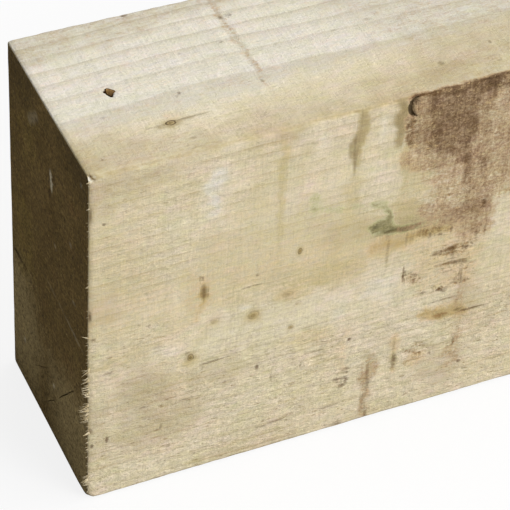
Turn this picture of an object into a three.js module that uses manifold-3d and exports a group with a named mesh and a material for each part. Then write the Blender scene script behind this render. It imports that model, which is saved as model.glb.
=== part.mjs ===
// A new sawn softwood railway sleeper, one baulk of timber standing on a narrow face.
//
// Millimetres, +Z up. The origin is the middle of the face it stands on. The length runs along X,
// the near end is at -X, and the wide front face looks towards -Y. The section is a rectangle whose
// four arrises are worn to a soft round that widens and narrows along the timber. The baulk was cut
// beside the heart of its log, so the pith runs just behind the front face, and the drying checks
// in both end cuts point at it.

import * as THREE from 'three';
import { mergeVertices } from 'three/addons/utils/BufferGeometryUtils.js';
import Module from 'manifold-3d';

// Sawn size.
const LENGTH = 2400;
const HEIGHT = 250;
const WIDTH = 125;

// Where the pith runs through the section.
const PITH_BEHIND_FRONT = 2;
const PITH_BELOW_TOP = 143;

// The arrises, in order round the section as seen from the far end. Each radius wanders by `wander`
// to either side of its mean, once in every `period` of length.
const ARRISES = [
  { name: 'bottom_back', radius: 2.2, wander: 0.6, period: 710, phase: 0.4 },
  { name: 'top_back', radius: 1.4, wander: 0.4, period: 530, phase: 2.1 },
  { name: 'top_front', radius: 3.2, wander: 0.8, period: 640, phase: 1.2 },
  { name: 'bottom_front', radius: 2.5, wander: 0.7, period: 820, phase: 3.6 },
];
const ARRIS_FACETS = 4;
const STATION_STEP = 80;

// Drying checks in an end cut, as angles about the pith with 0 towards the back and 90 upwards,
// and the distances from the pith where each one starts and stops.
const NEAR_END_CHECKS = [
  { angle: -57, start: 40, stop: 94, gape: 1.1, depth: 26 },
  { angle: -54.5, start: 85, stop: 112, gape: 0.7, depth: 14 },
  { angle: -42, start: 86, stop: 116, gape: 0.8, depth: 16 },
  { angle: -4.5, start: 97, stop: 126, gape: 0.9, depth: 18 },
];
const FAR_END_CHECKS = [
  { angle: 74, start: 28, stop: 96, gape: 1.2, depth: 30 },
  { angle: 38, start: 52, stop: 88, gape: 0.8, depth: 18 },
  { angle: 9, start: 70, stop: 126, gape: 1.0, depth: 24 },
  { angle: -31, start: 44, stop: 82, gape: 0.8, depth: 16 },
  { angle: -66, start: 30, stop: 78, gape: 0.9, depth: 20 },
];

// A torn knot pit in the top face.
const PIT_FROM_NEAR_END = 35.5;
const PIT_FROM_BACK = 62;
const PIT_LENGTH = 6.5;
const PIT_WIDTH = 8;
const PIT_DEPTH = 5;
const PIT_FLOOR_SHARE = 0.45;
const PIT_SIDES = 7;

// A crescent of bark pocket that fell out of the front face, just under the top arris.
const CRESCENT_FROM_NEAR_END = 189;
const CRESCENT_BELOW_TOP = 7.5;
const CRESCENT_HEIGHT = 11;
const CRESCENT_THICKNESS = 2.8;
const CRESCENT_BULGE = 4.6;
const CRESCENT_DEPTH = 2.5;
const CRESCENT_FACETS = 5;

// The knock that took the near end's top front corner, along the length, across it and downwards.
const KNOCK_ALONG = 8;
const KNOCK_ACROSS = 5;
const KNOCK_DOWN = 5.5;

// The near end's bottom front corner, worn back this far along each of its edges. The ball that
// shapes it is centred this many reaches in from each face.
const WEAR_REACH = 9;
const WEAR_ROUNDNESS = 1.35;
const WEAR_SIDES = 32;

// How far a cutting shape stands out of the face that it cuts.
const PROUD = 4;

// Vertices closer together than this are one vertex.
const WELD_DISTANCE = 1e-4;

const NEAR_END = -LENGTH / 2;
const FAR_END = LENGTH / 2;
const FRONT = -WIDTH / 2;
const BACK = WIDTH / 2;
const PITH_Y = FRONT + PITH_BEHIND_FRONT;
const PITH_Z = HEIGHT - PITH_BELOW_TOP;

const wasm = await Module();
wasm.setup();

// A closed three.js geometry as a solid.
function solidOf(geometry) {
  const bare = geometry.clone();
  bare.deleteAttribute('normal');
  bare.deleteAttribute('uv');
  const merged = mergeVertices(bare, WELD_DISTANCE);
  return new wasm.Manifold(new wasm.Mesh({
    numProp: 3,
    vertProperties: new Float32Array(merged.attributes.position.array),
    triVerts: new Uint32Array(merged.index.array),
  }));
}

// A solid as a three.js geometry.
function geometryOf(solid) {
  const mesh = solid.getMesh();
  const geometry = new THREE.BufferGeometry();
  geometry.setAttribute('position', new THREE.BufferAttribute(mesh.vertProperties, 3));
  geometry.setIndex(new THREE.BufferAttribute(mesh.triVerts, 1));
  geometry.computeVertexNormals();
  return geometry;
}

function arrisRadius(arris, x) {
  return arris.radius + arris.wander * Math.sin((2 * Math.PI * x) / arris.period + arris.phase);
}

// The section at one station: y as Vector2.x and z as Vector2.y, anticlockwise from +X.
function sectionAt(x) {
  const corners = {
    bottom_back: { y: BACK, z: 0, outY: 1, outZ: -1, from: -90 },
    top_back: { y: BACK, z: HEIGHT, outY: 1, outZ: 1, from: 0 },
    top_front: { y: FRONT, z: HEIGHT, outY: -1, outZ: 1, from: 90 },
    bottom_front: { y: FRONT, z: 0, outY: -1, outZ: -1, from: 180 },
  };
  const points = [];
  for (const arris of ARRISES) {
    const corner = corners[arris.name];
    const radius = arrisRadius(arris, x);
    for (let step = 0; step <= ARRIS_FACETS; step += 1) {
      const angle = THREE.MathUtils.degToRad(corner.from + (90 * step) / ARRIS_FACETS);
      points.push(new THREE.Vector2(
        corner.y + radius * (Math.cos(angle) - corner.outY),
        corner.z + radius * (Math.sin(angle) - corner.outZ),
      ));
    }
  }
  return points;
}

// The baulk as it left the saw: sections joined from end to end, closed by the two end cuts.
function sawnBaulk() {
  const bays = Math.ceil(LENGTH / STATION_STEP);
  const positions = [];
  const triangles = [];
  let count = 0;
  for (let bay = 0; bay <= bays; bay += 1) {
    const x = NEAR_END + (LENGTH * bay) / bays;
    const section = sectionAt(x);
    count = section.length;
    section.forEach((point) => positions.push(x, point.x, point.y));
  }
  for (let bay = 0; bay < bays; bay += 1) {
    for (let side = 0; side < count; side += 1) {
      const next = (side + 1) % count;
      const a = bay * count + side;
      const b = bay * count + next;
      const c = a + count;
      const d = b + count;
      triangles.push(a, b, c, b, d, c);
    }
  }
  const cap = THREE.ShapeUtils.triangulateShape(sectionAt(FAR_END), []);
  cap.forEach(([a, b, c]) => triangles.push(a + bays * count, b + bays * count, c + bays * count));
  const nearCap = THREE.ShapeUtils.triangulateShape(sectionAt(NEAR_END), []);
  nearCap.forEach(([a, b, c]) => triangles.push(a, c, b));
  const geometry = new THREE.BufferGeometry();
  geometry.setAttribute('position', new THREE.Float32BufferAttribute(positions, 3));
  geometry.setIndex(triangles);
  return geometry;
}

// One drying check: a flat four-sided spike that is widest at the end cut and closes inside.
// `inward` is +1 at the near end and -1 at the far end.
function dryingCheck(check, endX, inward) {
  const growth = (check.depth + PROUD) / check.depth;
  const spike = new THREE.ConeGeometry(1, check.depth + PROUD, 4);
  spike.scale((growth * (check.stop - check.start)) / 2, 1, (growth * check.gape) / 2);
  spike.translate(0, (check.depth - PROUD) / 2, 0);
  const angle = THREE.MathUtils.degToRad(check.angle);
  const along = new THREE.Vector3(0, Math.cos(angle), Math.sin(angle));
  const into = new THREE.Vector3(inward, 0, 0);
  const across = new THREE.Vector3().crossVectors(along, into);
  spike.applyMatrix4(new THREE.Matrix4().makeBasis(along, into, across));
  const middle = (check.start + check.stop) / 2;
  spike.translate(endX, PITH_Y + middle * along.y, PITH_Z + middle * along.z);
  return spike;
}

// The torn pit, wider at its mouth than at its floor.
function knotPit() {
  const mouthShare = 1 + ((1 - PIT_FLOOR_SHARE) * PROUD) / PIT_DEPTH;
  const pit = new THREE.CylinderGeometry(mouthShare, PIT_FLOOR_SHARE, PIT_DEPTH + PROUD, PIT_SIDES);
  pit.rotateX(Math.PI / 2);
  pit.scale(PIT_LENGTH / 2, PIT_WIDTH / 2, 1);
  pit.translate(
    NEAR_END + PIT_FROM_NEAR_END,
    BACK - PIT_FROM_BACK,
    HEIGHT + (PROUD - PIT_DEPTH) / 2,
  );
  return pit;
}

// The crescent, drawn on the front face between two arcs through the same two tips.
function barkCrescent() {
  const halfHeight = CRESCENT_HEIGHT / 2;
  const outline = new THREE.Shape();
  outline.moveTo(0, -halfHeight);
  outline.quadraticCurveTo(2 * CRESCENT_BULGE, 0, 0, halfHeight);
  outline.quadraticCurveTo(2 * (CRESCENT_BULGE - CRESCENT_THICKNESS), 0, 0, -halfHeight);
  const crescent = new THREE.ExtrudeGeometry(outline, {
    depth: CRESCENT_DEPTH + PROUD,
    curveSegments: CRESCENT_FACETS,
    bevelEnabled: false,
  });
  crescent.rotateX(Math.PI / 2);
  crescent.translate(
    NEAR_END + CRESCENT_FROM_NEAR_END - CRESCENT_BULGE,
    FRONT + CRESCENT_DEPTH,
    HEIGHT - CRESCENT_BELOW_TOP,
  );
  return crescent;
}

// What the knock took off the top front corner: an octahedron's face across the corner.
function cornerKnock() {
  const knock = new THREE.OctahedronGeometry(1);
  knock.scale(KNOCK_ALONG, KNOCK_ACROSS, KNOCK_DOWN);
  knock.translate(NEAR_END, FRONT, HEIGHT);
  return knock;
}

// What wear took off the bottom front corner: the corner of a box that lies outside a ball. The
// ball passes through the three edges at the reach of the wear.
function wornCorner() {
  const inset = WEAR_REACH * WEAR_ROUNDNESS;
  const side = inset + PROUD;
  const block = new THREE.BoxGeometry(side, side, side);
  const blockMiddle = inset - side / 2;
  block.translate(NEAR_END + blockMiddle, FRONT + blockMiddle, blockMiddle);
  const ballRadius = Math.hypot(inset - WEAR_REACH, inset, inset);
  const ball = new THREE.SphereGeometry(ballRadius, WEAR_SIDES, WEAR_SIDES / 2);
  ball.translate(NEAR_END + inset, FRONT + inset, inset);
  return solidOf(block).subtract(solidOf(ball));
}

function sleeperSolid() {
  const cuts = [
    ...NEAR_END_CHECKS.map((check) => dryingCheck(check, NEAR_END, 1)),
    ...FAR_END_CHECKS.map((check) => dryingCheck(check, FAR_END, -1)),
    knotPit(),
    barkCrescent(),
    cornerKnock(),
  ];
  let solid = solidOf(sawnBaulk());
  for (const cut of cuts) {
    solid = solid.subtract(solidOf(cut));
  }
  return solid.subtract(wornCorner());
}

const sawnTimber = new THREE.MeshStandardMaterial({
  color: 0xd2c19a,
  roughness: 0.85,
  metalness: 0,
  flatShading: true,
});

const sleeper = new THREE.Mesh(geometryOf(sleeperSolid()), sawnTimber);
sleeper.name = 'sleeper';

const railwaySleeper = new THREE.Group();
railwaySleeper.add(sleeper);

export default railwaySleeper;
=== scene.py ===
"""Looks for a railway sleeper: one sawn softwood baulk on a pale studio floor.

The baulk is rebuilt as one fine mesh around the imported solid, in the same place and at the same size.
Tables are in millimetres as a joiner would measure them on the timber: `x` from the near end cut, and
across each face from its own edge. The mesh and everything else in Blender is in metres.
"""
import math
import random
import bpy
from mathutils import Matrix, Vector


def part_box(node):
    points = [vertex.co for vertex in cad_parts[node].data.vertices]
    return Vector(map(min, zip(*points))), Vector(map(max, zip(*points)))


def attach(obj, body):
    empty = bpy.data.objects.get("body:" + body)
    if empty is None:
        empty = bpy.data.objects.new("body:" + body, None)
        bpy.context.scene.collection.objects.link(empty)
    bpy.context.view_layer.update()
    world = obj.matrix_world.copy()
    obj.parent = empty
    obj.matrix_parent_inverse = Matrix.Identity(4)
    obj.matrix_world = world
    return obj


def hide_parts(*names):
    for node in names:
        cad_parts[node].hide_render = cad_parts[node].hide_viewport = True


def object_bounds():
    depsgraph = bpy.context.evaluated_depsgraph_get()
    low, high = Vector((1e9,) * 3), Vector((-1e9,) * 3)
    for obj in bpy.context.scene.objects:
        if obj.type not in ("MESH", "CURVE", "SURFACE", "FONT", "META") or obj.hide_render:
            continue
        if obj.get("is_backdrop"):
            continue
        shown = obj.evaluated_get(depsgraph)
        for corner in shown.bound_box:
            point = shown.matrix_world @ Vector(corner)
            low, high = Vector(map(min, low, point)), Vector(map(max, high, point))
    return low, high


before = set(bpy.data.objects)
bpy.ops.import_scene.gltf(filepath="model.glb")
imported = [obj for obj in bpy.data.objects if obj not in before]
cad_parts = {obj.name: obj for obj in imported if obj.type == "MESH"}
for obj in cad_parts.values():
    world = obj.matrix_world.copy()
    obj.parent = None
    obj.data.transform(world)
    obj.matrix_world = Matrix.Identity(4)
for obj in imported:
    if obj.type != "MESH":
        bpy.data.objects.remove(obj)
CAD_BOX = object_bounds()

from types import SimpleNamespace

import bmesh
import bpy
import numpy as np
from mathutils import Matrix, Vector, geometry, noise

MM = 0.001

# ---------------------------------------------------------------- the baulk, from the frame
LOW, HIGH = (np.array(corner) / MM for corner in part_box("sleeper"))
LENGTH, WIDTH, HEIGHT = HIGH - LOW
NEAR, FAR = LOW[0], HIGH[0]
FRONT, BACK = LOW[1], HIGH[1]
TOP = HIGH[2]

# The pith runs just behind the front face.
PITH_Y = FRONT + 2.0
PITH_Z = TOP - 143.0

# Arrises, anticlockwise round the section as seen from the far end: the side of each along Y and Z,
# its mean radius, how far the radius wanders, the length it takes to do so, and the phase.
ARRISES = (
    ((1, -1), 2.2, 0.6, 710.0, 0.4),
    ((1, 1), 1.4, 0.4, 530.0, 2.1),
    ((-1, 1), 2.1, 0.5, 640.0, 1.2),
    ((-1, -1), 2.5, 0.7, 820.0, 3.6),
)
ARRIS_STEPS = 6
# The arcs are drawn this much wider, since the relief then eats into them, down to the core.
ARRIS_ALLOWANCE = 0.5
ARRIS_CORE = 0.3
END_ARRIS = 0.7
# Spacing of the vertices on the end cuts and of their rows, how far each is shaken, how far they keep
# from the rim and the checks, and how near to each other two are the same one.
CAP_PITCH = 3.1
CAP_ROW_PITCH = 0.87 * CAP_PITCH
CAP_SHAKE = 0.5
CAP_CLEAR = 1.2
CAP_SAME = 1e-5

# Drying checks in the end cuts. Each starts and stops at an angle about the pith in degrees (0
# towards the back, 90 up) and a distance from it, and has a gape and a depth.
NEAR_CHECKS = (
    (-61.0, 40, -55.2, 84, 0.8, 22),
    (-55.0, 88, -53.2, 113, 0.6, 12),
    (-42.4, 84, -41.8, 116, 0.55, 14),
    (-4.8, 97, -4.5, 121, 0.7, 16),
)
FAR_CHECKS = (
    (74.0, 28, 75.0, 96, 1.2, 26),
    (38.0, 52, 37.0, 88, 0.8, 14),
    (9.0, 70, 9.4, 121, 1.0, 20),
    (-31.0, 44, -30.0, 82, 0.8, 14),
    (-66.0, 30, -66.5, 78, 0.9, 16),
)
# A check turns at steps of this length, by up to this much, and keeps this share of its last turn.
CHECK_STEP = 3.0
CHECK_TURN = 0.22
CHECK_KEEPS = 0.7

# Whorls of branches: x of the whorl, how far it swells the rings, and for each branch its angle about
# the pith, its radius per millimetre of distance from the pith, how dark it is and how much bark
# rings it.
WHORLS = (
    (92, 0.9, ((4, 0.055, 0.5, 0.2), (-74, 0.050, 0.6, 0.5))),
    (468, 4.2, ((101, 0.075, 0.6, 0.2), (22, 0.085, 0.5, 0.1), (-68, 0.080, 0.8, 0.9))),
    (856, 4.0, ((66, 0.085, 0.8, 0.8), (-8, 0.090, 0.6, 0.3), (-98, 0.070, 0.5, 0.2))),
    (1272, 4.6, ((88, 0.080, 0.6, 0.3), (30, 0.070, 0.8, 0.9), (-34, 0.095, 0.5, 0.1))),
    (1664, 4.4, ((74, 0.060, 0.7, 0.7), (12, 0.100, 0.6, 0.2), (-80, 0.085, 0.6, 0.4))),
    (2066, 4.0, ((97, 0.090, 0.5, 0.1), (-2, 0.080, 0.8, 0.8), (-58, 0.075, 0.6, 0.2))),
)
BRANCH_SLOPE = -14.0
WHORL_REACH = 34.0

# Small knots that the saw caught in or beside the pith: face, x, across, half sizes, how dark the
# heart is and how dark its rim.
SMALL_KNOTS = (
    ("front", 100, 134, 3.0, 2.7, 0.80, 0.15),
    ("front", 62, 154, 1.7, 2.3, 1.00, 0.4),
    ("front", 76, 130, 2.4, 1.8, 0.45, 0.1),
    ("front", 120.5, 124.5, 3.2, 2.0, 0.50, 0.1),
    ("front", 126.5, 93, 1.2, 2.0, 1.00, 0.5),
    ("front", 124.5, 152, 1.5, 1.4, 0.80, 0.2),
    ("front", 128, 134, 1.8, 1.4, 0.30, 0.0),
    ("front", 150, 130, 3.0, 1.4, 0.22, 0.0),
    ("top", 57, 98, 2.7, 1.6, 0.75, 0.8),
)

# Small marks, such as pin holes, dents, tears and specks, by face: x, across, half sizes, strength. A
# strength below zero makes the mark pale.
MARKS = {
    "front": (
        # the near arris of the front face; at its top corner the chip, with painted shade in its crack
        # and a painted highlight on its pale splinter
        (0.8, 27, 0.8, 4.5, 0.6), (0.8, 101, 0.8, 3.5, 0.8), (1.5, 192, 1.2, 2.2, 0.6),
        (2.4, 204, 1, 1.4, 0.8), (3, 119, 1.3, 1.2, 0.7), (2.2, 1.2, 0.8, 1, 0.9),
        (3.2, 2.3, 0.6, 0.5, 0.5), (0.5, 2, 1, 1.9, -1.2),
        # the brown spike of a knot, and short checks under it
        (66.7, 104, 0.4, 4, 0.4), (69, 106, 0.45, 6, 0.75), (71.2, 105.5, 0.4, 3.6, 0.5),
        (59.5, 149.5, 1.6, 1.4, 0.45),
        # the brown hook, lines and stroke of an old tear
        (164, 176, 1.2, 1.3, 1), (155, 25, 0.7, 8, 0.34), (157.8, 8, 0.6, 9, 0.2), (156, 37, 0.7, 8, 0.3),
        (179, 97.4, 7, 1.3, 0.34), (158.8, 207.3, 2.8, 1.1, 0.55), (164.3, 210.4, 1.3, 2.8, 0.8),
        (161.4, 214, 2.2, 1.3, 0.8), (163.5, 200.4, 2.4, 1, 0.6), (155, 229, 7, 0.8, 0.5),
        # the black upright crack and its brown crumbs
        (195.3, 136.4, 0.8, 3.4, 1), (195.1, 130.8, 0.6, 3.2, 0.7), (195.7, 204, 1.5, 3.4, 0.75),
        (195.4, 210.5, 1.1, 2.2, 0.5), (194.6, 193, 0.9, 6, 0.28), (203.6, 138, 1.2, 1, 0.7),
        (202.6, 142, 1.5, 1.6, 0.6), (199.6, 134.8, 1, 0.9, 0.4), (210.5, 154.4, 3, 0.8, 0.5),
        (220.8, 155.3, 1.7, 1.1, 1), (224.8, 157.6, 1.2, 1.1, 0.6), (224.5, 164.6, 8.5, 0.8, 0.6),
        (237, 153.6, 3.6, 0.9, 0.5),
        # torn strokes above and beside it
        (215.5, 125.2, 2.4, 1.1, 0.8), (225, 124.6, 4, 1.8, 0.7), (227, 128.2, 2, 1.2, 0.6),
        (235.6, 125.6, 1.6, 1.3, 0.9), (241, 116.6, 0.9, 2, 0.7), (241.6, 122.8, 1.5, 0.9, 0.6),
        (219, 135, 3.6, 0.9, 0.5), (227.5, 135.8, 6, 1.3, 0.7), (234, 136.6, 4, 1.8, 0.5),
        (236.8, 137.8, 1.2, 0.9, 0.7), (224, 141.8, 4.4, 0.7, 0.4), (234.6, 147, 0.8, 5.4, 0.6),
        (231, 145, 0.7, 3.4, 0.4), (233.5, 152.8, 5.6, 0.9, 0.5), (246.5, 115, 0.8, 2.4, 0.6),
        (243, 93, 1.1, 2.6, 1), (246, 179, 8, 0.7, 0.8), (236, 176, 2.4, 0.8, 0.8),
        # granules of the orange band
        (183, 113, 0.9, 11, 0.35), (194.4, 106, 0.8, 5, 0.3), (198.6, 106, 0.7, 4, 0.25),
        (203, 104, 0.8, 3, 0.4), (212.6, 103, 0.8, 1.6, 0.5), (207, 106, 1, 2.6, 0.6),
        (209.6, 108, 1.2, 1.8, 0.7), (215, 104.6, 1.6, 1, 0.7), (216.6, 109.8, 1.2, 1, 0.7),
        (223.6, 108.2, 0.9, 2.2, 0.7),
        # lines inside the crescent, and dark spots in the stain
        (186.8, 20, 1.2, 1.8, 0.6), (190.4, 17.6, 1.6, 1.2, 0.7), (187.2, 28, 1.3, 1.8, 0.6),
        (192, 26, 1.6, 1.4, 0.6), (189.4, 33.4, 1.8, 1.2, 0.6), (194, 31.6, 1.6, 1.6, 0.5),
        (217, 46, 4.5, 0.8, 0.35), (208, 57, 5, 0.8, 0.35), (219.6, 62.6, 0.9, 1.8, 0.45),
        (238, 62, 4, 0.8, 0.45), (190, 97, 12, 1.5, 0.42), (200, 97.6, 6, 0.8, 0.4),
        (199.5, 1.9, 5.5, 0.55, 0.9), (196, 3.4, 3.2, 0.5, 0.5), (190.4, 5.4, 0.5, 2.6, 0.6),
        (192, 8.6, 0.4, 3.6, 0.5), (190, 10.4, 0.4, 2.4, 0.5), (207.4, 24, 0.8, 13, 0.26),
        (211.6, 29, 1.1, 14, 0.32), (202.8, 22, 0.8, 10, 0.22), (226.6, 19, 0.9, 12, 0.3),
        (231, 35, 0.9, 12, 0.26), (228, 69, 0.9, 9, 0.3), (227.4, 26, 1.6, 3, 0.5),
        (224.4, 21.5, 1, 1.8, 0.5), (228, 54, 2.2, 0.8, 0.5),
        # specks and pin holes
        (8.5, 35, 0.9, 0.9, 0.8), (11.5, 202, 1, 2.1, 0.85), (12.6, 148, 3, 0.8, 0.6),
        (104.6, 177, 0.9, 2, 0.8), (76.5, 162, 6.5, 0.7, 1), (98, 110.6, 5, 0.5, 0.6),
        (36, 120, 1.1, 1, 0.5), (30, 117, 0.9, 0.8, 0.4), (66, 92.8, 0.9, 1.2, 0.55),
        (101, 103, 1, 0.9, 0.5), (92, 33, 0.7, 0.8, 0.4), (33, 184, 2, 0.8, 0.45),
        (141, 178, 5, 0.6, 0.35), (146, 186, 4, 0.6, 0.35), (133, 186, 0.7, 3, 0.35),
        (114, 190, 0.7, 3.4, 0.35), (90, 196, 6, 0.6, 0.35), (62, 187, 5, 0.6, 0.4),
        (120, 228, 4, 1, 0.55), (110, 229.5, 4, 0.7, 0.45), (45, 204, 0.9, 1.8, 0.45),
        (50, 222, 1.2, 1.2, 0.45), (161, 246, 2.6, 1.6, 0.6), (178.5, 209, 1, 6, 0.5),
        (179.6, 219, 1, 4, 0.5), (177, 232, 0.8, 5, 0.5), (180, 245, 1, 3.4, 0.6),
        (220, 207.6, 1, 1, 0.6), (241.5, 222, 1.2, 1.2, 0.8), (235.5, 203, 0.7, 3, 0.5),
    ),
    "top": (
        # the chipped corner at the front: painted shade in its crack, and its pale splinter with a
        # painted highlight
        (1.5, 123.2, 0.45, 1.5, 0.9), (0.3, 124.2, 0.7, 1.2, -1.2), (3.2, 124, 0.9, 0.8, -0.6),
        # specks and pin holes
        (197, 124.2, 7, 0.6, 0.8), (118, 22.5, 1.8, 1.4, 0.7), (124, 22, 1.3, 1, 0.6),
        (117.6, 83, 1.8, 1.1, 0.7), (84, 45, 0.9, 0.7, 0.5), (87, 50.5, 0.7, 0.6, 0.35),
        (109.4, 43.4, 0.9, 0.7, 0.5), (70.6, 76.2, 1, 0.9, 0.7), (68.2, 78.4, 0.8, 0.9, 0.4),
        (68, 2.5, 1.6, 0.9, 0.8), (195, 53, 2.2, 1, 0.4), (173, 55.5, 1.8, 0.7, 0.35),
        (216, 103, 1.6, 1.5, 0.5), (250.6, 95.4, 0.9, 1.2, 0.6), (248, 112, 1.2, 0.7, 0.5),
        (12, 113.4, 0.7, 0.7, 0.6), (63.5, 113.6, 1.5, 0.8, 0.5), (24.6, 81.4, 1.4, 0.8, 0.3),
        (118.7, 44, 1.8, 46, 0.08),
        # the tails of the top's knot
        (48.4, 98.4, 5.4, 0.6, 0.5), (69, 96.9, 8.4, 0.5, 0.6),
    ),
    "near": (
        # here x is in from the back, and across is down from the top
        # the first two are a splinter lying on the cut: its pale wood with a painted highlight
        (66.6, 45.5, 1.2, 3.4, -1.3), (68.2, 52, 1.2, 3.4, -1.3), (65, 55.5, 1.6, 2.4, 0.9),
        (72, 44, 1.8, 2.4, 0.9), (34, 31, 3.2, 2.6, -0.22), (39.5, 25.5, 3.4, 3, -0.28),
        (45, 20, 3, 2.6, -0.24), (113, 15, 1.4, 1.4, -0.4), (69, 207, 1.5, 1.6, -0.7),
        (102, 110, 2.2, 1, -0.4), (73, 92, 1.4, 1.2, -0.5), (64, 130.2, 9, 0.6, -0.12),
        (80, 131.4, 9, 0.6, -0.16), (96, 133.4, 9, 0.6, -0.24), (110, 135.4, 6, 0.7, -0.3),
        (12, 152.6, 13, 1.5, 0.8), (24, 95, 2.4, 1.8, 0.6), (79, 101, 2.2, 1.6, 0.6),
        (64, 61, 2.6, 1.4, 0.6), (20, 214, 1.4, 2, -0.6), (97, 71, 1.8, 1.6, -0.3),
        (52, 166, 1.4, 1.2, 0.7), (33, 130, 1.6, 1.2, 0.6), (88, 60, 1.4, 1.2, 0.6),
    ),
}


def streak(x, start, stop, half):
    """The outline of a narrow upright streak across a face."""
    third = (stop - start) / 3
    return ((x - 0.6 * half, start), (x + 0.7 * half, start), (x + half, start + third),
            (x + 0.8 * half, stop - third), (x + 0.2 * half, stop), (x - 0.3 * half, stop),
            (x - 0.8 * half, stop - third), (x - half, start + third))


def spot(x, across, half_x, half_across):
    """The outline of a round or oval patch."""
    turns = [math.tau * k / 10 for k in range(10)]
    return tuple((x + half_x * math.cos(t), across + half_across * math.sin(t)) for t in turns)
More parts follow.
